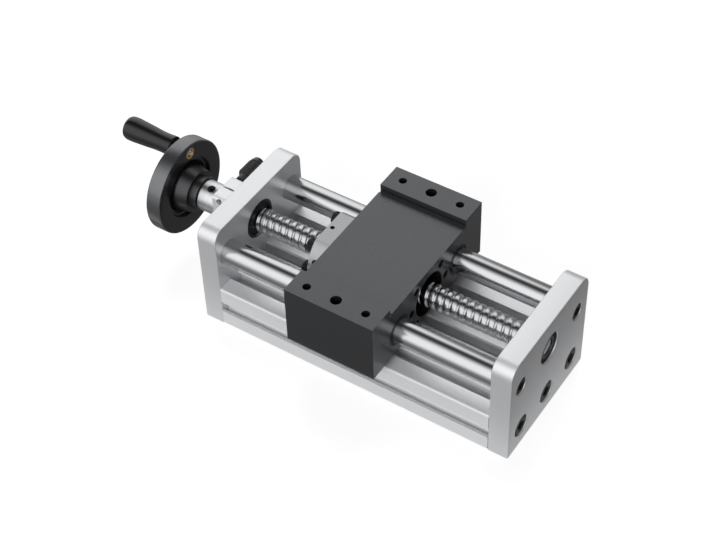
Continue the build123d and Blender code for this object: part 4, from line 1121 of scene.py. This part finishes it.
class STAGE_OT_studio(bpy.types.Operator):
    """Sets up the pale floor, the studio light and the camera"""

    bl_idname = "linear_stage.studio"
    bl_label = "Studio"

    def execute(self, context):
        scene = context.scene
        scene.view_settings.view_transform = "Standard"
        self.camera(scene)
        self.world(scene)
        self.floor()
        self.tent()
        self.lamps(scene)
        return {"FINISHED"}

    def camera(self, scene):
        """The camera where the straight edges in the photograph put it."""
        azimuth, elevation, roll = (math.radians(angle) for angle in CAMERA_ANGLES)
        level = math.cos(elevation)
        back = Vector((math.sin(azimuth) * level, -math.cos(azimuth) * level, math.sin(elevation)))
        right = (-back).cross(Vector((0, 0, 1))).normalized()
        up = right.cross(-back)
        right_turned = right * math.cos(roll) + up * math.sin(roll)
        up_turned = up * math.cos(roll) - right * math.sin(roll)
        data = bpy.data.cameras.new("view_camera")
        data.lens = CAMERA_LENS
        data.sensor_width = CAMERA_SENSOR
        data.sensor_fit = "HORIZONTAL"
        data.clip_start = 0.01
        data.clip_end = 100.0
        camera = bpy.data.objects.new("view_camera", data)
        scene.collection.objects.link(camera)
        turn = Matrix((right_turned, up_turned, back)).transposed().to_4x4()
        camera.matrix_world = Matrix.Translation(Vector(CAMERA_PLACE) * MM) @ turn
        scene.camera = camera

    def world(self, scene):
        """White for what the camera and the metal see, and a low grey light for the rest."""
        world = bpy.data.worlds.new("studio_world")
        scene.world = world
        world.use_nodes = True
        tree = world.node_tree
        tree.nodes.clear()
        path = add(tree, "ShaderNodeLightPath").outputs
        seen = add(tree, "ShaderNodeMath", {0: path["Is Camera Ray"], 1: path["Is Glossy Ray"]},
                   operation="MAXIMUM").outputs[0]
        seen = add(tree, "ShaderNodeMath", {0: seen, 1: path["Is Transmission Ray"]},
                   operation="MAXIMUM").outputs[0]
        strength = add(tree, "ShaderNodeMapRange", {"Value": seen, "To Min": 0.2, "To Max": 1.0}).outputs[0]
        light = add(tree, "ShaderNodeBackground", {"Color": (1, 1, 1, 1), "Strength": strength})
        add(tree, "ShaderNodeOutputWorld", {"Surface": light.outputs[0]})

    def floor(self):
        """A wide pale floor, white to the camera away from the object's shadow."""
        mesh = bpy.data.meshes.new("studio_floor")
        far = FLOOR_REACH
        corners = [(-far, -far, 0), (far, -far, 0), (far, far, 0), (-far, far, 0)]
        mesh.from_pydata(corners, [], [(0, 1, 2, 3)])
        floor = show(mesh, "studio_floor")
        # Seamless paper: pale, matt and without any shine
        finish, tree, shader = new_finish("studio_paper")
        output = next(node for node in tree.nodes if node.type == "OUTPUT_MATERIAL")
        shader.inputs["Base Color"].default_value = linear("969696")
        shader.inputs["Roughness"].default_value = 0.9
        shader.inputs["Specular IOR Level"].default_value = 0.0
        path = add(tree, "ShaderNodeLightPath").outputs
        # To the camera: mostly even white paper, with the shadow that the object throws on it
        even = add(tree, "ShaderNodeEmission", {"Color": (1, 1, 1, 1), "Strength": 0.82}).outputs[0]
        shadow = add(tree, "ShaderNodeBsdfDiffuse", {"Color": (0.25, 0.25, 0.25, 1)}).outputs[0]
        paper = add(tree, "ShaderNodeAddShader", {0: even, 1: shadow}).outputs[0]
        lit = add(tree, "ShaderNodeMixShader",
                  {0: path["Is Camera Ray"], 1: shader.outputs[0], 2: paper}).outputs[0]
        # To reflections the paper glows with painted shade and light: painted shade close to the object and
        # paler further out, darker beyond the free plate
        where = add(tree, "ShaderNodeTexCoord").outputs["Object"]
        squeezed = add(tree, "ShaderNodeMapping", {"Vector": where, "Scale": (0.6, 1, 0)}).outputs[0]
        away = add(tree, "ShaderNodeVectorMath", {0: squeezed}, operation="LENGTH").outputs["Value"]
        wide = add(tree, "ShaderNodeMapRange", {
            "Value": away, "From Min": 0.09, "From Max": 0.42, "To Min": 0.20, "To Max": 0.65,
        }, interpolation_type="SMOOTHSTEP").outputs[0]
        spot = add(tree, "ShaderNodeSeparateXYZ", {0: where}).outputs
        # Painted dark reflection beyond the free plate, darkening the faces that look that way
        painted_dark_beyond_plate = add(tree, "ShaderNodeMapRange", {
            "Value": spot["X"], "From Min": 0.10, "From Max": 0.15, "To Min": 1.0, "To Max": 0.4,
        }, interpolation_type="SMOOTHSTEP").outputs[0]
        shade = add(tree, "ShaderNodeMath", {0: wide, 1: painted_dark_beyond_plate}, operation="MULTIPLY").outputs[0]
        # Along the near side and the free plate a painted band of bounce light makes the paper bright again
        mirrored = add(tree, "ShaderNodeVectorMath", {0: where, 1: (1.0, -1.0, 0.0)}, operation="MULTIPLY")
        outside = add(tree, "ShaderNodeVectorMath", {0: mirrored.outputs[0], 1: FOOT_CORNER},
                      operation="SUBTRACT")
        gaps = add(tree, "ShaderNodeSeparateXYZ", {0: outside.outputs[0]}).outputs
        gap = add(tree, "ShaderNodeMath", {0: gaps["X"], 1: gaps["Y"]}, operation="MAXIMUM").outputs[0]
        rise = add(tree, "ShaderNodeMapRange", {
            "Value": gap, "From Min": -0.004, "From Max": 0.0, "To Min": 0.0, "To Max": 0.36,
        }).outputs[0]
        fall = add(tree, "ShaderNodeMapRange", {
            "Value": gap, "From Min": 0.0, "From Max": 0.038, "To Min": 1.0, "To Max": 0.0,
        }, interpolation_type="SMOOTHSTEP").outputs[0]
        foot = add(tree, "ShaderNodeMath", {0: rise, 1: fall}, operation="MULTIPLY").outputs[0]
        shade = add(tree, "ShaderNodeMath", {0: shade, 1: foot}, operation="ADD").outputs[0]
        seen = add(tree, "ShaderNodeEmission", {"Color": (1, 1, 1, 1), "Strength": shade}).outputs[0]
        both = add(tree, "ShaderNodeMixShader", {0: path["Is Glossy Ray"], 1: lit, 2: seen}).outputs[0]
        tree.links.new(both, output.inputs["Surface"])
        floor.data.materials.append(finish)

    def tent(self):
        """A tent of light that only reflections see: bright on both sides, dim overhead and at one corner."""
        bm = bmesh.new()
        bmesh.ops.create_uvsphere(bm, u_segments=64, v_segments=32, radius=TENT_RADIUS)
        lower = [vert for vert in bm.verts if vert.co.z < -0.01]
        bmesh.ops.delete(bm, geom=lower, context="VERTS")
        mesh = bpy.data.meshes.new("light_tent")
        bm.to_mesh(mesh)
        bm.free()
        tent = show(mesh, "light_tent")
        tent.visible_camera = False
        tent.visible_diffuse = False
        tent.visible_shadow = False
        tent.visible_volume_scatter = False
        # White tent cloth with the lights behind it: it glows and shows no texture
        finish = bpy.data.materials.new("tent_cloth")
        finish.use_nodes = True
        tree = finish.node_tree
        tree.nodes.clear()
        where = add(tree, "ShaderNodeTexCoord").outputs["Object"]
        way = add(tree, "ShaderNodeVectorMath", {0: where}, operation="NORMALIZE").outputs[0]
        parts = add(tree, "ShaderNodeSeparateXYZ", {0: way}).outputs
        tilt = add(tree, "ShaderNodeMath", {0: parts["Y"], 1: parts["Z"]}, operation="ARCTAN2").outputs[0]
        far_box = add(tree, "ShaderNodeMapRange", {
            "Value": tilt, "From Min": math.radians(10), "From Max": math.radians(40),
            "To Min": 0.05, "To Max": 1.2,
        }, interpolation_type="SMOOTHSTEP").outputs[0]
        near_box = add(tree, "ShaderNodeMapRange", {
            "Value": tilt, "From Min": math.radians(-1.5), "From Max": math.radians(-45),
            "To Min": 0.05, "To Max": 1.3,
        }, interpolation_type="SMOOTHSTEP").outputs[0]
        boxes = add(tree, "ShaderNodeMath", {0: far_box, 1: near_box}, operation="MAXIMUM").outputs[0]
        low = add(tree, "ShaderNodeMapRange", {
            "Value": parts["Z"], "From Min": 0.0, "From Max": 0.3, "To Min": 0.8, "To Max": 1.0,
        }).outputs[0]
        flank = add(tree, "ShaderNodeVectorMath", {0: way, 1: DARK_SIDE},
                    operation="DOT_PRODUCT").outputs["Value"]
        side = add(tree, "ShaderNodeMapRange", {
            "Value": flank, "From Min": 0.3, "From Max": 0.65, "To Min": 1.0, "To Max": 0.16,
        }, interpolation_type="SMOOTHSTEP").outputs[0]
        glow = add(tree, "ShaderNodeMath", {0: boxes, 1: low}, operation="MULTIPLY").outputs[0]
        glow = add(tree, "ShaderNodeMath", {0: glow, 1: side}, operation="MULTIPLY").outputs[0]
        light = add(tree, "ShaderNodeEmission", {"Color": (1, 1, 1, 1), "Strength": glow})
        add(tree, "ShaderNodeOutputMaterial", {"Surface": light.outputs[0]})
        tent.data.materials.append(finish)

    def lamps(self, scene):
        """Two soft suns, one from high on the far side and one from the near side, without reflections."""
        for name, way, angle, power in SUNS:
            data = bpy.data.lights.new(name, "SUN")
            data.angle = math.radians(angle)
            data.energy = power
            lamp = bpy.data.objects.new(name, data)
            scene.collection.objects.link(lamp)
            lamp.visible_glossy = False
            lamp.rotation_euler = (-Vector(way)).to_track_quat("-Z", "Y").to_euler()


PIECES = (
    STAGE_OT_base, STAGE_OT_rods, STAGE_OT_cap_screws, STAGE_OT_ball_screw, STAGE_OT_carriage,
    STAGE_OT_nut, STAGE_OT_clamp, STAGE_OT_knob, STAGE_OT_handwheel, STAGE_OT_studio,
)


class STAGE_PT_panel(bpy.types.Panel):
    """Lists the pieces of the linear stage"""

    bl_label = "Linear stage"
    bl_idname = "STAGE_PT_panel"
    bl_space_type = "VIEW_3D"
    bl_region_type = "UI"
    bl_category = "Linear Stage"

    def draw(self, context):
        for piece in PIECES:
            self.layout.operator(piece.bl_idname)


CLASSES = (StageSizes, StageColours) + PIECES + (STAGE_PT_panel,)


def register():
    """Registers the classes and the settings."""
    for item in CLASSES:
        bpy.utils.register_class(item)
    bpy.types.Scene.linear_stage_sizes = bpy.props.PointerProperty(type=StageSizes)
    bpy.types.Scene.linear_stage_colours = bpy.props.PointerProperty(type=StageColours)


def unregister():
    """Takes the settings and the classes out again."""
    del bpy.types.Scene.linear_stage_colours
    del bpy.types.Scene.linear_stage_sizes
    for item in reversed(CLASSES):
        bpy.utils.unregister_class(item)


def main():
    """Builds every piece in order."""
    register()
    for piece in PIECES:
        group, name = piece.bl_idname.split(".")
        getattr(getattr(bpy.ops, group), name)()


if __name__ == "__main__":
    main()
